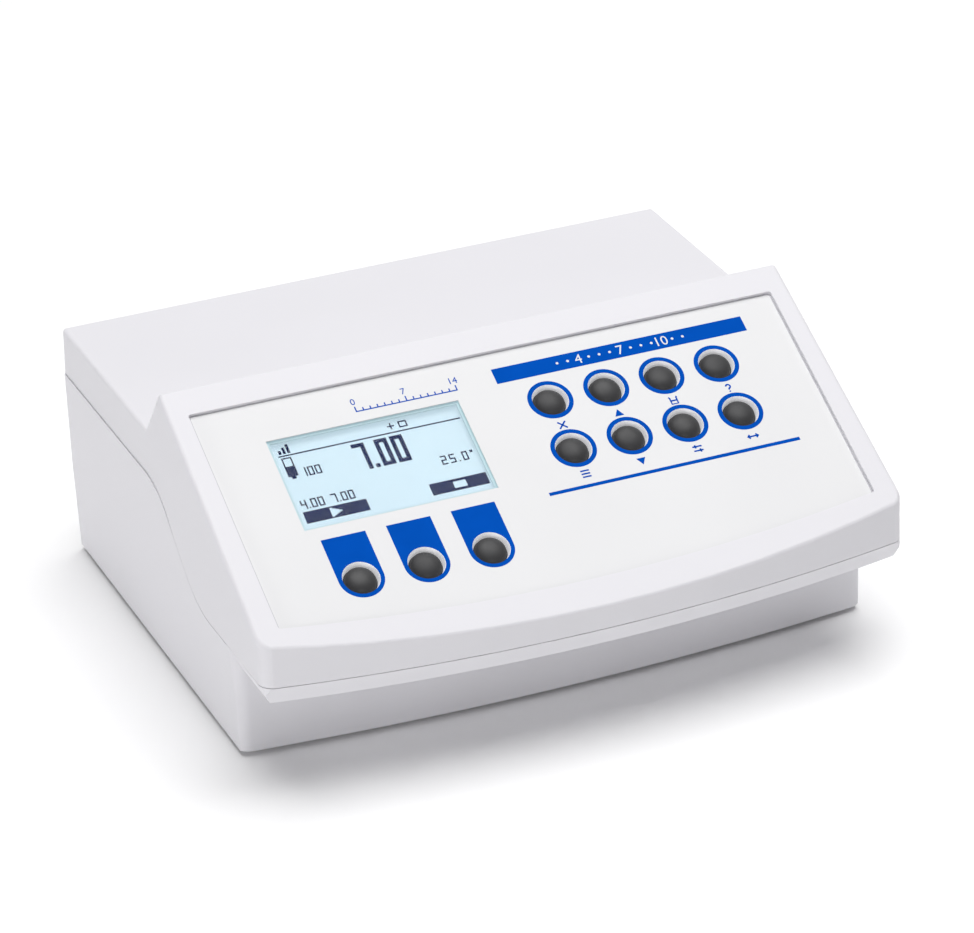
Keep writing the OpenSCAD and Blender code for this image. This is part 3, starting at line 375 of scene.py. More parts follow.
# Nickel plate over turned brass: warm silver, turning marks round the axis of the socket.
NICKEL = DrawnMetal("nickel_plate", "#D2CEC6", roughness=0.2, grain_mm=0.2, depth_mm=0.003, drift=0.04,
                    stretch=(0.12, 1.0, 0.12))
# Gold flash over brass: yellow and bright.
GOLD = DrawnMetal("gold_flash", "#E3BE62", roughness=0.22, grain_mm=0.2, depth_mm=0.002, drift=0.04)
# Fluoropolymer: waxy white.
INSULATOR = Finish("fluoropolymer_white", "#EDEBE3", roughness=0.35, ior=1.36, grain_mm=0.5, depth_mm=0.004,
                   drift=0.02)
# Flat cable: grey cores 1.27 mm apart with darker grooves between them.
RIBBON = StripedFinish("grey_flat_cable", "#A9ABB1", roughness=0.45, grain_mm=0.6, depth_mm=0.004, drift=0.03,
                       second="#7E8087", pitch_mm=1.27, share=0.8)
# Foot rubber: dull black with a bloom of dust.
FEET = Finish("foot_rubber_black", "#2B2B2D", roughness=0.8, grain_mm=0.5, depth_mm=0.02, patch_mm=6.0, drift=0.15)
# Zinc plate: blue-white and half bright.
ZINC = DrawnMetal("zinc_plate", "#BFC3C9", roughness=0.32, grain_mm=0.2, depth_mm=0.003, drift=0.05)
# Studio sheet: matt white paper.
PAPER = WhitePaper("matt_white_paper", "#FCFCFC", roughness=0.95, grain_mm=2.0, depth_mm=0.0, patch_mm=300.0,
                   drift=0.002, gloss_drift=0.0, shine=0.0)

SLOT_FINISH: Dict[Slot, Finish] = {
    Slot.TUB: TUB_ABS, Slot.COVER: COVER_ABS, Slot.FILM: FILM, Slot.WINDOW: CLEAR_ACRYLIC,
    Slot.GLASS: CRYSTAL_GLASS, Slot.LIGHT_GUIDE: LIGHT_GUIDE, Slot.BLACK_STEEL: BLACK_STEEL, Slot.BOARD: BOARD,
    Slot.SILICONE: SILICONE, Slot.CARBON: CARBON, Slot.BLACK_PLASTIC: BLACK_PLASTIC, Slot.TIN: TIN,
    Slot.NICKEL: NICKEL, Slot.GOLD: GOLD, Slot.INSULATOR: INSULATOR, Slot.RIBBON: RIBBON, Slot.FEET: FEET,
    Slot.SCREW: ZINC}


def node_points(node: str) -> np.ndarray:
    """Vertices of a CAD node.

    Args:
        node: The node's name.

    Returns:
        Its vertices as an array of rows in metres.
    """
    mesh = frame["nodes"][node].data
    flat = np.empty(len(mesh.vertices) * 3, np.float32)
    mesh.vertices.foreach_get("co", flat)
    return flat.reshape(-1, 3).astype(float)


def add_piece(name: str, mesh: bpy.types.Mesh, body: str, finish: Finish) -> bpy.types.Object:
    """Puts a finished mesh into the scene and lets it ride on a body.

    Args:
        name: The piece's name.
        mesh: Its mesh, already in place.
        body: The CAD body that carries it.
        finish: Its finish.

    Returns:
        The piece.
    """
    mesh.materials.clear()
    mesh.materials.append(finish.make())
    piece = bpy.data.objects.new(name, mesh)
    bpy.context.scene.collection.objects.link(piece)
    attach(piece, body)
    LOG.info("piece %s: %d faces", name, len(mesh.polygons))
    return piece


def merged(mesh: bpy.types.Mesh, sharp_deg: float, distance: float = 1e-7, turn_out: bool = True) -> bpy.types.Mesh:
    """Joins equal points, turns faces outwards and shades smoothly up to an angle.

    Args:
        mesh: The mesh that is changed.
        sharp_deg: Edges that turn by more than this stay sharp.
        distance: Points nearer than this become one, in metres.
        turn_out: False where the faces already point the right way.

    Returns:
        The same mesh.
    """
    work = bmesh.new()
    work.from_mesh(mesh)
    bmesh.ops.remove_doubles(work, verts=work.verts, dist=distance)
    bmesh.ops.dissolve_degenerate(work, edges=work.edges, dist=distance)
    if turn_out:
        bmesh.ops.recalc_face_normals(work, faces=work.faces)
    work.to_mesh(mesh)
    work.free()
    mesh.polygons.foreach_set("use_smooth", np.ones(len(mesh.polygons), bool))
    mesh.set_sharp_from_angle(angle=math.radians(sharp_deg))
    mesh.update()
    return mesh


def loft(name: str, rings: np.ndarray, closed_rows: bool = False, sharp_deg: float = 40.0) -> bpy.types.Mesh:
    """Skin over rings of points: the point at row i, column j joins its neighbours in both ways.

    Columns always close on themselves. A ring whose points are all alike closes an end to a pole.

    Args:
        name: The mesh's name.
        rings: Rows of rings, an array of rows by columns by three, in metres.
        closed_rows: True where the last ring joins the first.
        sharp_deg: Edges that turn by more than this stay sharp.

    Returns:
        The merged mesh.
    """
    rows, columns = rings.shape[:2]
    last = rows if closed_rows else rows - 1
    row = np.arange(last)[:, None]
    column = np.arange(columns)[None, :]
    next_row = (row + 1) % rows
    next_column = (column + 1) % columns
    quads = np.stack([row * columns + column, row * columns + next_column,
                      next_row * columns + next_column, next_row * columns + column], axis=-1).reshape(-1, 4)
    mesh = bpy.data.meshes.new(name)
    mesh.from_pydata(rings.reshape(-1, 3), [], quads)
    return merged(mesh, sharp_deg)


def arc(centre: Tuple[float, float], radius: float, start: float, end: float, count: int) -> np.ndarray:
    """Points on a circle, from one angle to another.

    Args:
        centre: The circle's middle.
        radius: Its radius.
        start: First angle in degrees.
        end: Last angle in degrees.
        count: How many points.

    Returns:
        Rows of two values.
    """
    turn = np.radians(np.linspace(start, end, count))
    return np.stack([centre[0] + radius * np.cos(turn), centre[1] + radius * np.sin(turn)], axis=1)


@dataclass(frozen=True)
class Panel:
    """The sloping panel's own coordinates, in millimetres: x to the right, v down the slope, n out of the film."""

    normal: np.ndarray
    down: np.ndarray
    film: float
    start: float

    FILM_TOP_MM = 11.8

    @classmethod
    def measured(cls) -> "Panel":
        """Reads the panel's slope from a key's travel and its level from the film.

        Returns:
            The panel.
        """
        travel = next(j for j in frame["joints"] if j["name"] == "key_up_press")
        normal = -np.array(travel["axis"], float)
        normal /= np.linalg.norm(normal)
        down = np.cross(normal, [1.0, 0.0, 0.0])
        down *= -np.sign(down[2])
        points = node_points("panel_overlay")
        return cls(normal, down, float((points @ normal).max()),
                   float((points @ down).min()) - cls.FILM_TOP_MM * MM)

    def place(self, x: np.ndarray, v: np.ndarray, n: np.ndarray) -> np.ndarray:
        """Panel coordinates to the shared frame.

        Args:
            x: Right, in millimetres.
            v: Down the slope, in millimetres.
            n: Out of the film, in millimetres.

        Returns:
            Points in metres, with the three values on the last axis.
        """
        x, v, n = np.broadcast_arrays(np.asarray(x, float), np.asarray(v, float), np.asarray(n, float))
        return (x[..., None] * MM * np.array([1.0, 0.0, 0.0]) + (v[..., None] * MM + self.start) * self.down
                + (n[..., None] * MM + self.film) * self.normal)

    def extent(self, node: str) -> Tuple[np.ndarray, np.ndarray]:
        """A node's box in panel coordinates.

        Args:
            node: The CAD node's name.

        Returns:
            Lowest and highest x, v and n in millimetres.
        """
        points = node_points(node)
        own = np.stack([points[:, 0], points @ self.down - self.start, points @ self.normal - self.film], axis=1) / MM
        return own.min(0), own.max(0)

    def outline(self, node: str) -> np.ndarray:
        """Hull of a flat node's upper points.

        Args:
            node: The CAD node's name.

        Returns:
            Rows of x and v in millimetres, in order round the hull.
        """
        points = node_points(node)
        level = points @ self.normal
        upper = points[level > level.max() - 0.05 * MM]
        flat = np.stack([upper[:, 0], upper @ self.down - self.start], axis=1) / MM
        return flat[convex_hull_2d([Vector(row) for row in flat])]

    def centre(self, node: str) -> Tuple[float, float]:
        """The middle of a node in x and v.

        Args:
            node: The CAD node's name.

        Returns:
            x and v in millimetres.
        """
        low, high = self.extent(node)
        return float(low[0] + high[0]) / 2, float(low[1] + high[1]) / 2


@dataclass
class Press:
    """Lays down flat print on the panel: every mark is a thin closed slab on the film."""

    panel: Panel
    low_mm: float = 0.0
    high_mm: float = 0.04

    def slab(self, outline: np.ndarray) -> np.ndarray:
        """Rings of a slab whose outline can be seen whole from its middle.

        The rings are the middle below, the outline below, the outline above and the middle above.

        Args:
            outline: Rows of x and v in millimetres.

        Returns:
            Four rings in metres.
        """
        middle = np.broadcast_to(outline.mean(0), outline.shape)
        flat = np.stack([middle, outline, outline, middle])
        height = np.array([self.low_mm, self.low_mm, self.high_mm, self.high_mm])[:, None]
        return self.panel.place(flat[..., 0], flat[..., 1], height)

    def band(self, outer: np.ndarray, inner: np.ndarray) -> np.ndarray:
        """Rings of a flat band between two outlines with equal numbers of points.

        Args:
            outer: Rows of x and v in millimetres.
            inner: As many rows.

        Returns:
            Four rings in metres, which close on themselves.
        """
        flat = np.stack([outer, outer, inner, inner])
        height = np.array([self.low_mm, self.high_mm, self.high_mm, self.low_mm])[:, None]
        return self.panel.place(flat[..., 0], flat[..., 1], height)

    def stroke(self, path: np.ndarray, width: float) -> np.ndarray:
        """Rings of a pen stroke: a square section carried along a path and closed at both ends.

        The path's own normal is the turned difference of its neighbours.

        Args:
            path: Rows of x and v in millimetres.
            width: The stroke's width in millimetres.

        Returns:
            Rings in metres, one for each point and one for each end.
        """
        run = np.gradient(path, axis=0)
        run /= np.linalg.norm(run, axis=1)[:, None]
        side = np.stack([-run[:, 1], run[:, 0]], axis=1) * width / 2
        left, right = path + side, path - side
        flat = np.stack([left, left, right, right], axis=1)
        height = np.broadcast_to([self.low_mm, self.high_mm, self.high_mm, self.low_mm], flat.shape[:2])
        rings = self.panel.place(flat[..., 0], flat[..., 1], height)
        ends = rings[[0, -1]].mean(1, keepdims=True).repeat(4, axis=1)
        return np.concatenate([ends[:1], rings, ends[1:]])

    def box(self, x0: float, v0: float, x1: float, v1: float) -> np.ndarray:
        """Rings of a rectangle's slab, from two opposite corners in millimetres."""
        return self.slab(np.array([[x0, v0], [x1, v0], [x1, v1], [x0, v1]]))

    def ring(self, x: float, v: float, outer: float, inner: float, count: int = 72) -> np.ndarray:
        """Rings of a round band, from its middle and radii in millimetres."""
        last = 360 - 360 / count
        return self.band(arc((x, v), outer, 0, last, count), arc((x, v), inner, 0, last, count))


def join_meshes(name: str, parts: Sequence[bpy.types.Mesh]) -> bpy.types.Mesh:
    """One mesh from several.

    Args:
        name: The new mesh's name.
        parts: The meshes, which are removed.

    Returns:
        The joined mesh.
    """
    work = bmesh.new()
    for part in parts:
        work.from_mesh(part)
        bpy.data.meshes.remove(part)
    whole = bpy.data.meshes.new(name)
    work.to_mesh(whole)
    work.free()
    return whole


def numerals(body: str, height_mm: float, thick_mm: float) -> Tuple[np.ndarray, List[List[int]]]:
    """A line of plain numerals as a flat solid about its own middle.

    Args:
        body: The characters.
        height_mm: Height of a figure.
        thick_mm: Thickness of the solid.

    Returns:
        Points in millimetres, x right, y up and z out, and the faces.
    """
    curve = bpy.data.curves.new("numerals", "FONT")
    curve.body = body
    curve.size = height_mm / FIGURE_SHARE
    curve.extrude = thick_mm / 2
    curve.resolution_u = 3
    carrier = bpy.data.objects.new("numerals", curve)
    bpy.context.scene.collection.objects.link(carrier)
    shape = carrier.evaluated_get(bpy.context.evaluated_depsgraph_get()).to_mesh()
    flat = np.empty(len(shape.vertices) * 3, np.float32)
    shape.vertices.foreach_get("co", flat)
    points = flat.reshape(-1, 3).astype(float)
    faces = [list(face.vertices) for face in shape.polygons]
    bpy.data.objects.remove(carrier)
    bpy.data.curves.remove(curve)
    points -= (points.min(0) + points.max(0)) / 2
    return points, faces


def finished_copy(node: str, slot: Slot, sharp_deg: float = 32.0) -> bpy.types.Object:
    """A merged copy of a CAD node with smooth curves and even shading, which stands for the node.

    The copy drops the normals that it was loaded with, because they no longer fit once its points are joined.

    Args:
        node: The CAD node's name.
        slot: Its material slot.
        sharp_deg: Edges that turn by more than this stay edges.

    Returns:
        The piece.
    """
    mesh = frame["nodes"][node].data.copy()
    mesh.name = node + "_skin"
    loaded = mesh.attributes.get("custom_normal")
    if loaded is not None:
        mesh.attributes.remove(loaded)
    merged(mesh, sharp_deg, CAD_MERGE_M, turn_out=False)
    body = frame["nodes"][node]["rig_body"]
    piece = add_piece(node + "_skin", mesh, body, SLOT_FINISH[slot])
    shade = piece.modifiers.new("even_shade", "WEIGHTED_NORMAL")
    shade.keep_sharp = True
    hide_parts(node)
    return piece


@dataclass
class Housing:
    """The lower tub, the upper cover and the feet; the screws that close them keep their CAD mesh."""

    sharp_deg: float = 30.0

    def build(self) -> None:
        """Skins the two shells and the feet."""
        finished_copy("base_tub", Slot.TUB, self.sharp_deg)
        finished_copy("top_cover", Slot.COVER, self.sharp_deg)
        finished_copy("rubber_feet", Slot.FEET)


@dataclass
class PanelPrints:
    """Everything printed on the film, and a grey band of painted shade along its edge, in panel millimetres."""

    panel: Panel
    header: Tuple[float, float, float, float] = (-0.8, 18.5, 94.7, 25.0)
    rule: Tuple[float, float, float, float] = (-0.9, 73.4, 93.7, 74.75)
    ring_out: float = 8.12
    ring_in: float = 6.52
    label_half: float = 8.0
    label_top: float = 71.9
    legend_drop: float = 11.3
    legend_half: float = 1.6
    pen: float = 0.6
    scale_left: float = -52.6
    scale_right: float = -15.4
    scale_top: float = 19.6
    scale_high: float = 4.0
    scale_figure: float = 2.6
    tick_mm: float = 0.45
    tick_long: float = 1.9
    tick_short: float = 1.1
    header_figure: float = 3.9
    header_pitch: float = 16.0
    header_clear: float = 3.0
    header_dot: float = 0.5
    ink_thick: float = 0.04
    edge_mm: float = 0.2

    def build(self) -> None:
        """Prints the bar, the rule, the key rings, the soft-key labels, the signs and the scale."""
        press = Press(self.panel)
        # A grey band of painted shade where the film meets its recess.
        self.edge(Press(self.panel, 0.0, 0.015))
        self.lay("header_bar", [press.box(*self.header)], False)
        self.lay("key_rule", [press.box(*self.rule)], False)
        for key in Keypad.MAIN:
            x, v = self.panel.centre(key)
            self.lay(key + "_ring", [press.ring(x, v, self.ring_out, self.ring_in)], True)
        for key in Keypad.SOFT:
            self.lay(key + "_label", [self.label(press, *self.panel.centre(key))], True)
        self.signs(press)
        self.scale(press)
        self.header_signs()

    def lay(self, name: str, shapes: Sequence[np.ndarray], closed: bool, finish: Finish = BLUE_INK) -> None:
        """Makes one print from several shapes.

        Args:
            name: The print's name.
            shapes: Rings of each shape.
            closed: True where the rings close on themselves.
            finish: The ink.
        """
        meshes = [loft(name, rings, closed) for rings in shapes]
        add_piece(name + "_print", join_meshes(name + "_print", meshes), HOUSING, finish)

    def edge(self, press: Press) -> None:
        """Painted shade along the film's edge: a fine grey band inside its outline, which is the hull of its upper
        points.

        The band's inner line is the outline drawn towards its middle by the band's width in x and in v.

        Args:
            press: The press that lays it down.
        """
        outline = self.panel.outline("panel_overlay")
        low, high = outline.min(0), outline.max(0)
        middle, half = (low + high) / 2, (high - low) / 2
        inner = middle + (outline - middle) * (1 - self.edge_mm / half)
        self.lay("film_gap_shade", [press.band(outline, inner)], True, FILM_GAP_SHADE)

    def label(self, press: Press, x: float, v: float) -> np.ndarray:
        """A tongue-shaped field round a soft key.

        Seen from the key's middle, its edge is a half circle below, and above it the nearer of the straight
        side and the straight top.

        Args:
            press: The press that prints it.
            x: The key's place.
            v: The key's place.

        Returns:
            Rings in metres.
        """
        rise = v - self.label_top
        corner = math.degrees(math.atan2(rise, self.label_half))
        turn = np.radians(np.concatenate([
            np.linspace(0, corner, 12, endpoint=False), np.linspace(corner, 180 - corner, 24, endpoint=False),
            np.linspace(180 - corner, 180, 12, endpoint=False), np.linspace(180, 360, 40, endpoint=False)]))
        cos, sin = np.cos(turn), np.sin(turn)
        with np.errstate(divide="ignore"):
            side = self.label_half / np.abs(cos)
            top = rise / np.where(sin > 1e-9, sin, 1e-9)
        reach = np.where(sin > 1e-9, np.minimum(side, top), self.label_half)
        way = np.stack([cos, -sin], axis=1)
        middle = np.array([x, v])
        return press.band(middle + reach[:, None] * way, middle + self.ring_in * way)

    def signs(self, press: Press) -> None:
        """Plain signs under the main keys, each drawn with a pen of one width.

        Args:
            press: The press that prints them.
        """
        half = self.legend_half
        for key, kind in Keypad.MAIN.items():
            x, v = self.panel.centre(key)
            middle = np.array([x, v + self.legend_drop])
            shapes = [press.stroke(middle + half * path, self.pen) for path in kind.strokes()]
            shapes += [press.slab(middle + half * outline) for outline in kind.fields()]
            self.lay(key + "_sign", shapes, False)

    def scale(self, press: Press) -> None:
        """A plain scale from 0 to 14 with ticks, above the display.

        Args:
            press: The press that prints it.
        """
        steps = np.linspace(self.scale_left, self.scale_right, 15)
        half, foot = self.tick_mm / 2, self.scale_top + self.scale_high
        ticks = [press.box(x - half, foot - (self.tick_long if i % 7 == 0 else self.tick_short), x + half, foot)
                 for i, x in enumerate(steps)]
        ticks.append(press.box(self.scale_left - half, foot, self.scale_right + half, foot + self.tick_mm))
        self.lay("scale_ticks", ticks, False)
        for number in (0, 7, 14):
            self.figure("scale_%d" % number, str(number), float(steps[number]), self.scale_top,
                        self.scale_figure, BLUE_INK)

    def figure(self, name: str, body: str, x: float, v: float, height: float, finish: Finish,
               low: float = 0.0) -> None:
        """Prints a number.

        Args:
            name: The print's name.
            body: The number.
            x: Its middle.
            v: Its middle.
            height: Its height in millimetres.
            finish: The ink.
            low: Height of its lower face over the film.
        """
        points, faces = numerals(body, height, self.ink_thick)
        mesh = bpy.data.meshes.new(name)
        out = low + self.ink_thick / 2 + points[:, 2]
        mesh.from_pydata(self.panel.place(x + points[:, 0], v - points[:, 1], out), [], faces)
        add_piece(name + "_print", merged(mesh, 40.0), HOUSING, finish)

    def header_signs(self) -> None:
        """White numbers and dots along the header bar: the plain points 4, 7 and 10 of a two-point adjustment."""
        x0, v0, x1, v1 = self.header
        middle, line = (x0 + x1) / 2, (v0 + v1) / 2
        places = np.array([-1, 0, 1]) * self.header_pitch
        for place, number in zip(places, (4, 7, 10)):
            self.figure("header_%d" % number, str(number), middle + place, line, self.header_figure, WHITE_INK,
                        self.ink_thick)
        press = Press(self.panel, self.ink_thick, 2 * self.ink_thick)
        steps = np.linspace(-1.5, 1.5, 13) * self.header_pitch
        dots = [press.slab(np.array([middle + x, line]) + arc((0, 0), self.header_dot, 0, 345, 24)) for x in steps
                if np.abs(places - x).min() > self.header_clear]
        self.lay("header_dots", dots, False, WHITE_INK)


class Sign(Enum):
    """Plain signs for keys, in half heights about the sign's middle, with v pointing down."""

    CROSS = "cross"
    UP = "up"
    BEAKER = "beaker"
    QUERY = "query"
    LIST = "list"
    DOWN = "down"
    SLIDERS = "sliders"
    SPAN = "span"

    def strokes(self) -> List[np.ndarray]:
        """Pen paths of the sign.

        Returns:
            Each path as rows of x and v.
        """
        hook = np.concatenate([arc((0.0, -0.55), 0.5, -170, 70, 14), [[0.0, 0.12], [0.0, 0.35]]])
        paths = {
            Sign.CROSS: [[(-0.9, -0.9), (0.9, 0.9)], [(-0.9, 0.9), (0.9, -0.9)]],
            Sign.BEAKER: [[(-1.0, -1.0), (-0.75, -0.8), (-0.75, 0.9), (0.75, 0.9), (0.75, -0.8), (1.0, -1.0)],
                          [(-0.7, 0.0), (0.7, 0.0)]],
            Sign.QUERY: [hook, [(0.0, 0.66), (0.0, 0.95)]],
            Sign.LIST: [[(-1.0, -0.8), (1.0, -0.8)], [(-1.0, 0.0), (1.0, 0.0)], [(-1.0, 0.8), (1.0, 0.8)]],
            Sign.SLIDERS: [[(-1.1, -0.55), (1.1, -0.55)], [(-1.1, 0.55), (1.1, 0.55)],
                           [(-0.4, -1.0), (-0.4, -0.1)], [(0.5, 0.1), (0.5, 1.0)]],
            Sign.SPAN: [[(-1.2, 0.0), (1.2, 0.0)], [(-0.7, -0.5), (-1.25, 0.0), (-0.7, 0.5)],
                        [(0.7, -0.5), (1.25, 0.0), (0.7, 0.5)]]}
        return [np.array(path, float) for path in paths.get(self, [])]

    def fields(self) -> List[np.ndarray]:
        """Filled outlines of the sign.

        Returns:
            Each outline as rows of x and v.
        """
        fields = {Sign.UP: [[(-1.05, 0.85), (0.0, -0.95), (1.05, 0.85)]],
                  Sign.DOWN: [[(-1.05, -0.85), (1.05, -0.85), (0.0, 0.95)]]}
        return [np.array(field, float) for field in fields.get(self, [])]


@dataclass
class Keypad:
    """Eleven rubber keys, each a turned dome in a white funnel that lines its well; the funnel is lightened by painted
    light.
    """

    panel: Panel
    grown_mm: float = -0.25
    brow_mm: float = 2.8
    fullness: float = 2.0
    well_out: float = 7.27
    well_in: float = 6.5
    well_low: float = 5.9
    well_rim: float = -0.02
    well_lip: float = -0.5
    well_slope: float = -2.5
    well_foot: float = -2.9
    count: int = 64

    MAIN = {"key_escape": Sign.CROSS, "key_up": Sign.UP, "key_calibrate": Sign.BEAKER, "key_help": Sign.QUERY,
            "key_menu": Sign.LIST, "key_down": Sign.DOWN, "key_setup": Sign.SLIDERS, "key_range": Sign.SPAN}
    SOFT = ("soft_key_left", "soft_key_middle", "soft_key_right")

    def build(self) -> None:
        """Turns a dome and a funnel for every key."""
        for key in (*self.MAIN, *self.SOFT):
            mesh = loft(key + "_dome", self.dome(key), sharp_deg=50.0)
            piece = add_piece(key + "_dome", mesh, frame["nodes"][key]["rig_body"], SILICONE)
            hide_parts(key)
            # The funnel's lighter colour and glow are painted light in the shaded well.
            add_piece(key + "_well", loft(key + "_well", self.well(key), True), HOUSING, WELL_ABS_PAINTED_GLOW)

    def turned(self, key: str, profile: np.ndarray) -> np.ndarray:
        """Carries a profile once round a key's axis.

        Args:
            key: The CAD node whose axis it is.
            profile: Rows of radius and height over the film in millimetres.

        Returns:
            Rings in metres, one for each row.
        """
        x, v = self.panel.centre(key)
        turn = np.linspace(0, 2 * np.pi, self.count, endpoint=False)
        return self.panel.place(x + profile[:, :1] * np.cos(turn), v - profile[:, :1] * np.sin(turn),
                                profile[:, 1:] + 0 * turn)

    def well(self, key: str) -> np.ndarray:
        """A funnel round the key: flush with the film, it drops, slopes in towards the key and ends over the mat.

        Args:
            key: The CAD node that it lines.

        Returns:
            Rings in metres, which close on themselves.
        """
        return self.turned(key, np.array([
            [self.well_out, self.well_rim], [self.well_in, self.well_rim], [self.well_in, self.well_lip],
            [self.well_low, self.well_slope], [self.well_low, self.well_foot], [self.well_out, self.well_foot]]))

    def dome(self, key: str) -> np.ndarray:
        """A profile turned about the key's axis.

        From the axis the profile runs out along the foot, up the skirt and its shoulder, up the side of the
        cap and over a superellipse, a power of the cosine against the same power of the sine, back to the axis.

        Args:
            key: The CAD node that it follows.

        Returns:
            Rings in metres.
        """
        x, v = self.panel.centre(key)
        points = node_points(key)
        n = (points @ self.panel.normal - self.panel.film) / MM
        across = np.hypot(points[:, 0] / MM - x, (points @ self.panel.down - self.panel.start) / MM - v)
        foot, top, skirt = n.min(), n.max(), across.max()
        shoulder = n[across > skirt - 0.1].max()
        cap = across[n > shoulder + 0.2].max() + self.grown_mm
        turn = np.radians(np.linspace(0, 90, 24))
        power = 2.0 / self.fullness
        brow = top - self.brow_mm
        crown = np.stack([cap * np.cos(turn).clip(0) ** power,
                          brow + self.brow_mm * np.sin(turn) ** power], axis=1)
        crown[-1] = (0.0, top)
        profile = np.concatenate([[[0.0, foot], [skirt, foot], [skirt, shoulder], [cap, shoulder]], crown])
        return self.turned(key, profile)


@dataclass
class Display:
    """The dot display: switched dots on the glass and a rim in the window's opening, painted with the display's light.
    """

    panel: Panel
    columns: int = 128
    rows: int = 64
    pitch: float = 0.52
    pitch_down: float = 0.54
    raised: float = 1.63
    aside: float = 0.95
    fill: float = 0.985
    thick: float = 0.03
    rim_wall: float = 0.12
    rim_step: float = 0.9
    rim_top: float = -0.35
    rim_gap: float = 0.02
    near_x: float = 45.0
    near_v: float = 24.0

    SEGMENTS = {"0": "abcdef", "1": "bc", "2": "abged", "3": "abgcd", "4": "fgbc", "5": "afgcd", "6": "afgedc",
                "7": "abc", "8": "abcdefg", "9": "abcdfg"}

    def build(self) -> None:
        """Switches the dots and fits the rim."""
        self.dots()
        self.rim()

    def picture(self) -> np.ndarray:
        """The dots that are on: a status line, a large reading, a temperature, three points and two soft-key boxes.

        Returns:
            A table of rows by columns, true where a dot is dark.
        """
        on = np.zeros((self.rows, self.columns), bool)
        # The line under the status row, and that row's rising bars, cross and empty box
        on[9, :] = True
        on[5:8, 1:3] = on[3:8, 4:6] = on[1:8, 7:9] = True
        on[2:7, 80:81] = on[4:5, 78:83] = on[2:7, 86:92] = True
        on[3:6, 87:91] = False
        # The reading, the temperature with its degree dot, two points and a share
        self.write(on, "7.00", 49, 12, 9, 21, 3, 2)
        self.write(on, "25.0", 103, 35, 4, 7, 1, 2)
        on[35:37, 124:126] = True
        self.write(on, "4.00", 1, 45, 4, 7, 1, 1)
        self.write(on, "7.00", 22, 45, 4, 7, 1, 1)
        self.write(on, "100", 10, 21, 4, 7, 1, 1)
        # A probe, half full, with its tip cut to a wedge
        on[11:28, 1:8] = True
        on[12:18, 2:7] = False
        on[26:28, [1, 2, 6, 7]] = False
        # Two soft-key boxes, one with an arrow and one with a bar
        boxes = on[54:63]
        boxes[:, 0:44] = boxes[:, 88:128] = True
        row, step = np.arange(-4, 5)[:, None], np.arange(self.columns)[None, :]
        boxes[(step >= 18) & (step < 26 - 2 * np.abs(row)) & (np.abs(row) < 4)] = False
        boxes[(step >= 104) & (step < 113) & (np.abs(row) < 3)] = False
        return on

    def write(self, on: np.ndarray, figures: str, left: int, top: int, wide: int, high: int, pen: int,
              gap: int) -> None:
        """Writes figures made of seven bars each.

        Args:
            on: The table that is written to.
            figures: Digits and points.
            left: First column.
            top: First row.
            wide: Columns in a digit.
            high: Rows in a digit.
            pen: Dots in a bar's width.
            gap: Dots between figures.
        """
        half = (high - pen) // 2
        bars = {"a": (0, pen, 0, wide), "g": (half, half + pen, 0, wide), "d": (high - pen, high, 0, wide),
                "f": (0, half + pen, 0, pen), "b": (0, half + pen, wide - pen, wide),
                "e": (half, high, 0, pen), "c": (half, high, wide - pen, wide)}
        for figure in figures:
            if figure == ".":
                on[top + high - pen:top + high, left:left + pen] = True
                left += pen + gap
                continue
            for bar in self.SEGMENTS[figure]:
                r0, r1, c0, c1 = bars[bar]
                on[top + r0:top + r1, left + c0:left + c1] = True
            left += wide + gap

    def dots(self) -> None:
        """Lays a thin square block on the glass for every dot that is on: its middle plus eight fixed corners."""
        _, high = self.panel.extent("lcd_glass")
        x_mid, v_mid = self.panel.centre("display_window")
        row, column = np.nonzero(self.picture())
        x = x_mid + self.aside + (column - (self.columns - 1) / 2) * self.pitch
        v = v_mid - self.raised + (row - (self.rows - 1) / 2) * self.pitch_down
        dx = self.pitch * self.fill / 2 * np.array([-1, 1, 1, -1, -1, 1, 1, -1])
        dv = self.pitch_down * self.fill / 2 * np.array([-1, -1, 1, 1, -1, -1, 1, 1])
        dn = high[2] + self.thick * np.array([0, 0, 0, 0, 1, 1, 1, 1])
        points = self.panel.place(x[:, None] + dx, v[:, None] + dv, dn + 0 * x[:, None])
        block = np.array([[0, 1, 2, 3], [4, 7, 6, 5], [0, 4, 5, 1], [1, 5, 6, 2], [2, 6, 7, 3], [3, 7, 4, 0]])
        faces = (8 * np.arange(len(x))[:, None, None] + block).reshape(-1, 4)
        mesh = bpy.data.meshes.new("display_dots")
        mesh.from_pydata(points.reshape(-1, 3), [], faces)
        mesh.update()
        add_piece("display_dots", mesh, HOUSING, CRYSTAL_DOTS)

    def rim(self) -> None:
        """A stepped frame that lines the opening: an oblong section carried round the window."""
        _, whigh = self.panel.extent("display_window")
        points = node_points("panel_overlay")
        x_mid, v_mid = self.panel.centre("display_window")
        near = np.abs(points[:, 0] / MM - x_mid) < self.near_x
        own_x = points[near, 0] / MM
        own_v = (points[near] @ self.panel.down - self.panel.start) / MM
        inside = np.abs(own_v - v_mid) < self.near_v
        half_x = np.abs(own_x[inside] - x_mid).max()
        half_v = np.abs(own_v[inside] - v_mid).max()
        gap, top, low = self.rim_gap, self.rim_top, float(whigh[2]) + self.rim_gap
        step = (top + low) / 2
        section = np.array([[gap, low], [gap, top], [gap + self.rim_wall, top], [gap + self.rim_wall, step],
                            [gap + self.rim_step, step], [gap + self.rim_step, low]])
        corner = np.array([[-1, -1], [1, -1], [1, 1], [-1, 1]], float)
        x = x_mid + corner[:, 0][:, None] * (half_x - section[:, 0])
        v = v_mid + corner[:, 1][:, None] * (half_v - section[:, 0])
        rings = self.panel.place(x, v, section[:, 1] + 0 * x)
        # The rim's cyan colour and glow are painted light from the display.
        add_piece("display_rim", loft("display_rim", rings, True, 30.0), HOUSING, RIM_PAINTED_LIGHT)


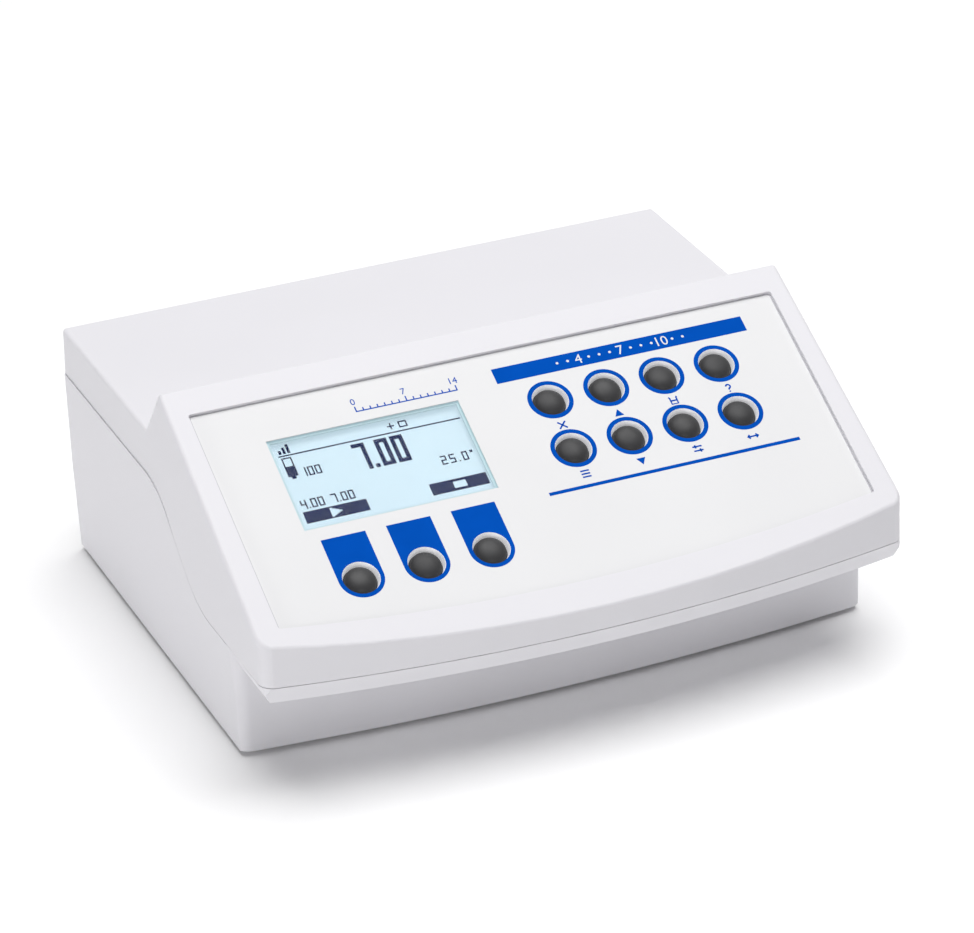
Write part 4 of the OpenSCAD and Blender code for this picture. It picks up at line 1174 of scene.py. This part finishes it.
@dataclass
class RearSockets:
    """Sockets and the rocker switch on the back, with a plain bar and ring printed on the rocker."""

    mark_off: float = 4.5
    mark_half: float = 1.4
    mark_pen: float = 0.45
    mark_thick: float = 0.03
    crest_over_axis: float = 2.0

    SKINS = {"electrode_socket": Slot.NICKEL, "electrode_nut": Slot.NICKEL, "temperature_socket": Slot.NICKEL,
             "power_pin": Slot.NICKEL, "electrode_contact": Slot.GOLD, "reference_contact": Slot.GOLD,
             "electrode_insulator": Slot.INSULATOR, "temperature_insulator": Slot.INSULATOR,
             "reference_socket": Slot.BLACK_PLASTIC, "power_socket": Slot.BLACK_PLASTIC,
             "computer_socket": Slot.TIN, "rocker_body": Slot.BLACK_PLASTIC, "power_rocker": Slot.BLACK_PLASTIC}

    def build(self) -> None:
        """Skins every socket and marks the rocker."""
        for node, slot in self.SKINS.items():
            finished_copy(node, slot)
        body = frame["nodes"]["power_rocker"]["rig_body"]
        for name, rings, closed in (("rocker_bar", self.bar(), False), ("rocker_ring", self.ring(), True)):
            add_piece(name + "_print", loft(name, rings, closed), body, WHITE_INK)

    def on_rocker(self, x: np.ndarray, z: np.ndarray, lift: np.ndarray) -> np.ndarray:
        """Points on the rocker's dished face, whose depth at a height is read between its own points.

        Args:
            x: Right of the face's middle, in millimetres.
            z: Over the face's middle, in millimetres.
            lift: Out of the face, in millimetres.

        Returns:
            Points in metres, with the three values on the last axis.
        """
        axis = next(j for j in frame["joints"] if j["name"] == "power_rocker_tip")["pos_m"]
        points = node_points("power_rocker")
        face = points[points[:, 1] > axis[1] + self.crest_over_axis * MM]
        face = face[np.argsort(face[:, 2])]
        middle = (face.min(0) + face.max(0)) / 2
        height = middle[2] + z * MM
        depth = np.interp(height, face[:, 2], face[:, 1])
        return np.stack(np.broadcast_arrays(middle[0] + x * MM, depth + lift * MM, height), axis=-1)

    def bar(self) -> np.ndarray:
        """An upright bar on the upper half: an oblong section carried up the face, closed at both ends.

        Returns:
            Rings in metres.
        """
        z = self.mark_off + np.linspace(-self.mark_half, self.mark_half, 9)[:, None]
        x = self.mark_pen / 2 * np.array([1, 1, -1, -1])
        rings = self.on_rocker(x, z, self.mark_thick * np.array([0, 1, 1, 0]))
        ends = rings[[0, -1]].mean(1, keepdims=True).repeat(4, axis=1)
        return np.concatenate([ends[:1], rings, ends[1:]])

    def ring(self) -> np.ndarray:
        """A ring on the lower half: a band between two circles.

        Returns:
            Rings in metres, which close on themselves.
        """
        turn = np.linspace(0, 2 * np.pi, 48, endpoint=False)
        radius = self.mark_half - self.mark_pen * np.array([0, 0, 1, 1])[:, None]
        lift = self.mark_thick * np.array([0, 1, 1, 0])[:, None]
        return self.on_rocker(radius * np.cos(turn), radius * np.sin(turn) - self.mark_off, lift)


@dataclass
class Dressing:
    """Gives every CAD node that still shows the finish of its slot."""

    def build(self) -> None:
        """Assigns the finishes."""
        for row in frame["record"]["subparts"]:
            node = frame["nodes"][row["node"]]
            node.data.materials.clear()
            node.data.materials.append(SLOT_FINISH[Slot(row["material_slot"])].make())


@dataclass
class Studio:
    """White sheet, soft lamps and the camera."""

    sheet_m: float = 4.0
    fill: float = 0.14
    lamp_watts: float = 60.0
    lamp_size_m: float = 2.2
    lamp_place: Tuple[float, float, float] = (0.25, 0.06, 2.2)
    side_watts: float = 14.5
    side_size_m: float = 0.5
    side_place: Tuple[float, float, float] = (-2.2, -0.5, 0.32)
    front_watts: float = 7.8
    front_size_m: float = 0.5
    front_place: Tuple[float, float, float] = (-0.3, -2.4, 0.32)
    camera_place: Tuple[float, float, float] = (-0.52966, -1.33514, 0.76478)
    camera_ahead: Tuple[float, float, float] = (0.332554, 0.832001, -0.444052)
    camera_right: Tuple[float, float, float] = (0.920634, -0.388525, -0.038492)
    lens_mm: float = 167.46
    sensor_mm: float = 36.0

    def build(self) -> None:
        """Sets up the sheet, the world, the lamps, the camera and the plain view transform."""
        self.sheet()
        self.world()
        self.lamp("overhead_softbox", self.lamp_watts, self.lamp_size_m, self.lamp_place)
        self.lamp("side_softbox", self.side_watts, self.side_size_m, self.side_place)
        self.lamp("front_softbox", self.front_watts, self.front_size_m, self.front_place)
        self.camera()
        bpy.context.scene.view_settings.view_transform = "Standard"

    def sheet(self) -> None:
        """A level sheet under the object: a grid of equal steps in x and y."""
        line = np.linspace(-self.sheet_m, self.sheet_m, 9)
        x, y = np.meshgrid(line, line)
        corner = np.arange(8)[:, None] * 9 + np.arange(8)[None, :]
        quads = np.stack([corner, corner + 1, corner + 10, corner + 9], axis=-1).reshape(-1, 4)
        mesh = bpy.data.meshes.new("paper_sheet")
        mesh.from_pydata(np.stack([x, y, 0 * x], axis=-1).reshape(-1, 3), [], quads)
        mesh.materials.append(PAPER.make())
        sheet = bpy.data.objects.new("paper_sheet", mesh)
        bpy.context.scene.collection.objects.link(sheet)

    def world(self) -> None:
        """Even fill light, and plain white where the eye, a reflection or a clear plate looks past the sheet."""
        world = bpy.data.worlds.new("white_room")
        world.use_nodes = True
        tree = world.node_tree
        tree.nodes.clear()
        path = add_node(tree, "ShaderNodeLightPath").outputs
        seen = add_node(tree, "ShaderNodeMath", {"Value": path["Is Camera Ray"], "Value_001": path["Is Glossy Ray"]},
                        operation="MAXIMUM").outputs["Value"]
        either = add_node(tree, "ShaderNodeMath", {"Value": seen, "Value_001": path["Is Transmission Ray"]},
                          operation="MAXIMUM")
        room = add_node(tree, "ShaderNodeBackground", {"Color": linear("#FBFAFF"), "Strength": self.fill})
        white = add_node(tree, "ShaderNodeBackground", {"Color": linear("#FFFFFF"), "Strength": 1.0})
        mix = add_node(tree, "ShaderNodeMixShader", {"Fac": either.outputs[0]})
        tree.links.new(room.outputs[0], mix.inputs[1])
        tree.links.new(white.outputs[0], mix.inputs[2])
        add_node(tree, "ShaderNodeOutputWorld", {"Surface": mix.outputs[0]})
        bpy.context.scene.world = world

    def lamp(self, name: str, watts: float, size: float, place: Tuple[float, float, float]) -> None:
        """A square soft lamp that faces the object.

        Args:
            name: The lamp's name.
            watts: Its power.
            size: Its side in metres.
            place: Its middle in metres.
        """
        light = bpy.data.lights.new(name, "AREA")
        light.energy = watts
        light.size = size
        lamp = bpy.data.objects.new(name, light)
        bpy.context.scene.collection.objects.link(lamp)
        lamp.location = place
        lamp.rotation_euler = (-Vector(place)).to_track_quat("-Z", "Y").to_euler()

    def camera(self) -> None:
        """The camera, from its place, the way it looks and the way its picture's right side points."""
        ahead, right = Vector(self.camera_ahead).normalized(), Vector(self.camera_right).normalized()
        up = right.cross(ahead)
        eye = bpy.data.cameras.new("camera")
        eye.lens = self.lens_mm
        eye.sensor_width = self.sensor_mm
        holder = bpy.data.objects.new("camera", eye)
        bpy.context.scene.collection.objects.link(holder)
        turn = Matrix((right, up, -ahead)).transposed().to_4x4()
        holder.matrix_world = Matrix.Translation(self.camera_place) @ turn
        bpy.context.scene.camera = holder


def main() -> None:
    """Builds every part of the scene in order."""
    logging.basicConfig(level=logging.INFO, format="%(name)s %(message)s")
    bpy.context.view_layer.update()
    panel = Panel.measured()
    for part in (Dressing(), Housing(), PanelPrints(panel), Keypad(panel), Display(panel), RearSockets(), Studio()):
        part.build()
        LOG.info("built %s", type(part).__name__)


if __name__ == "__main__":
    main()
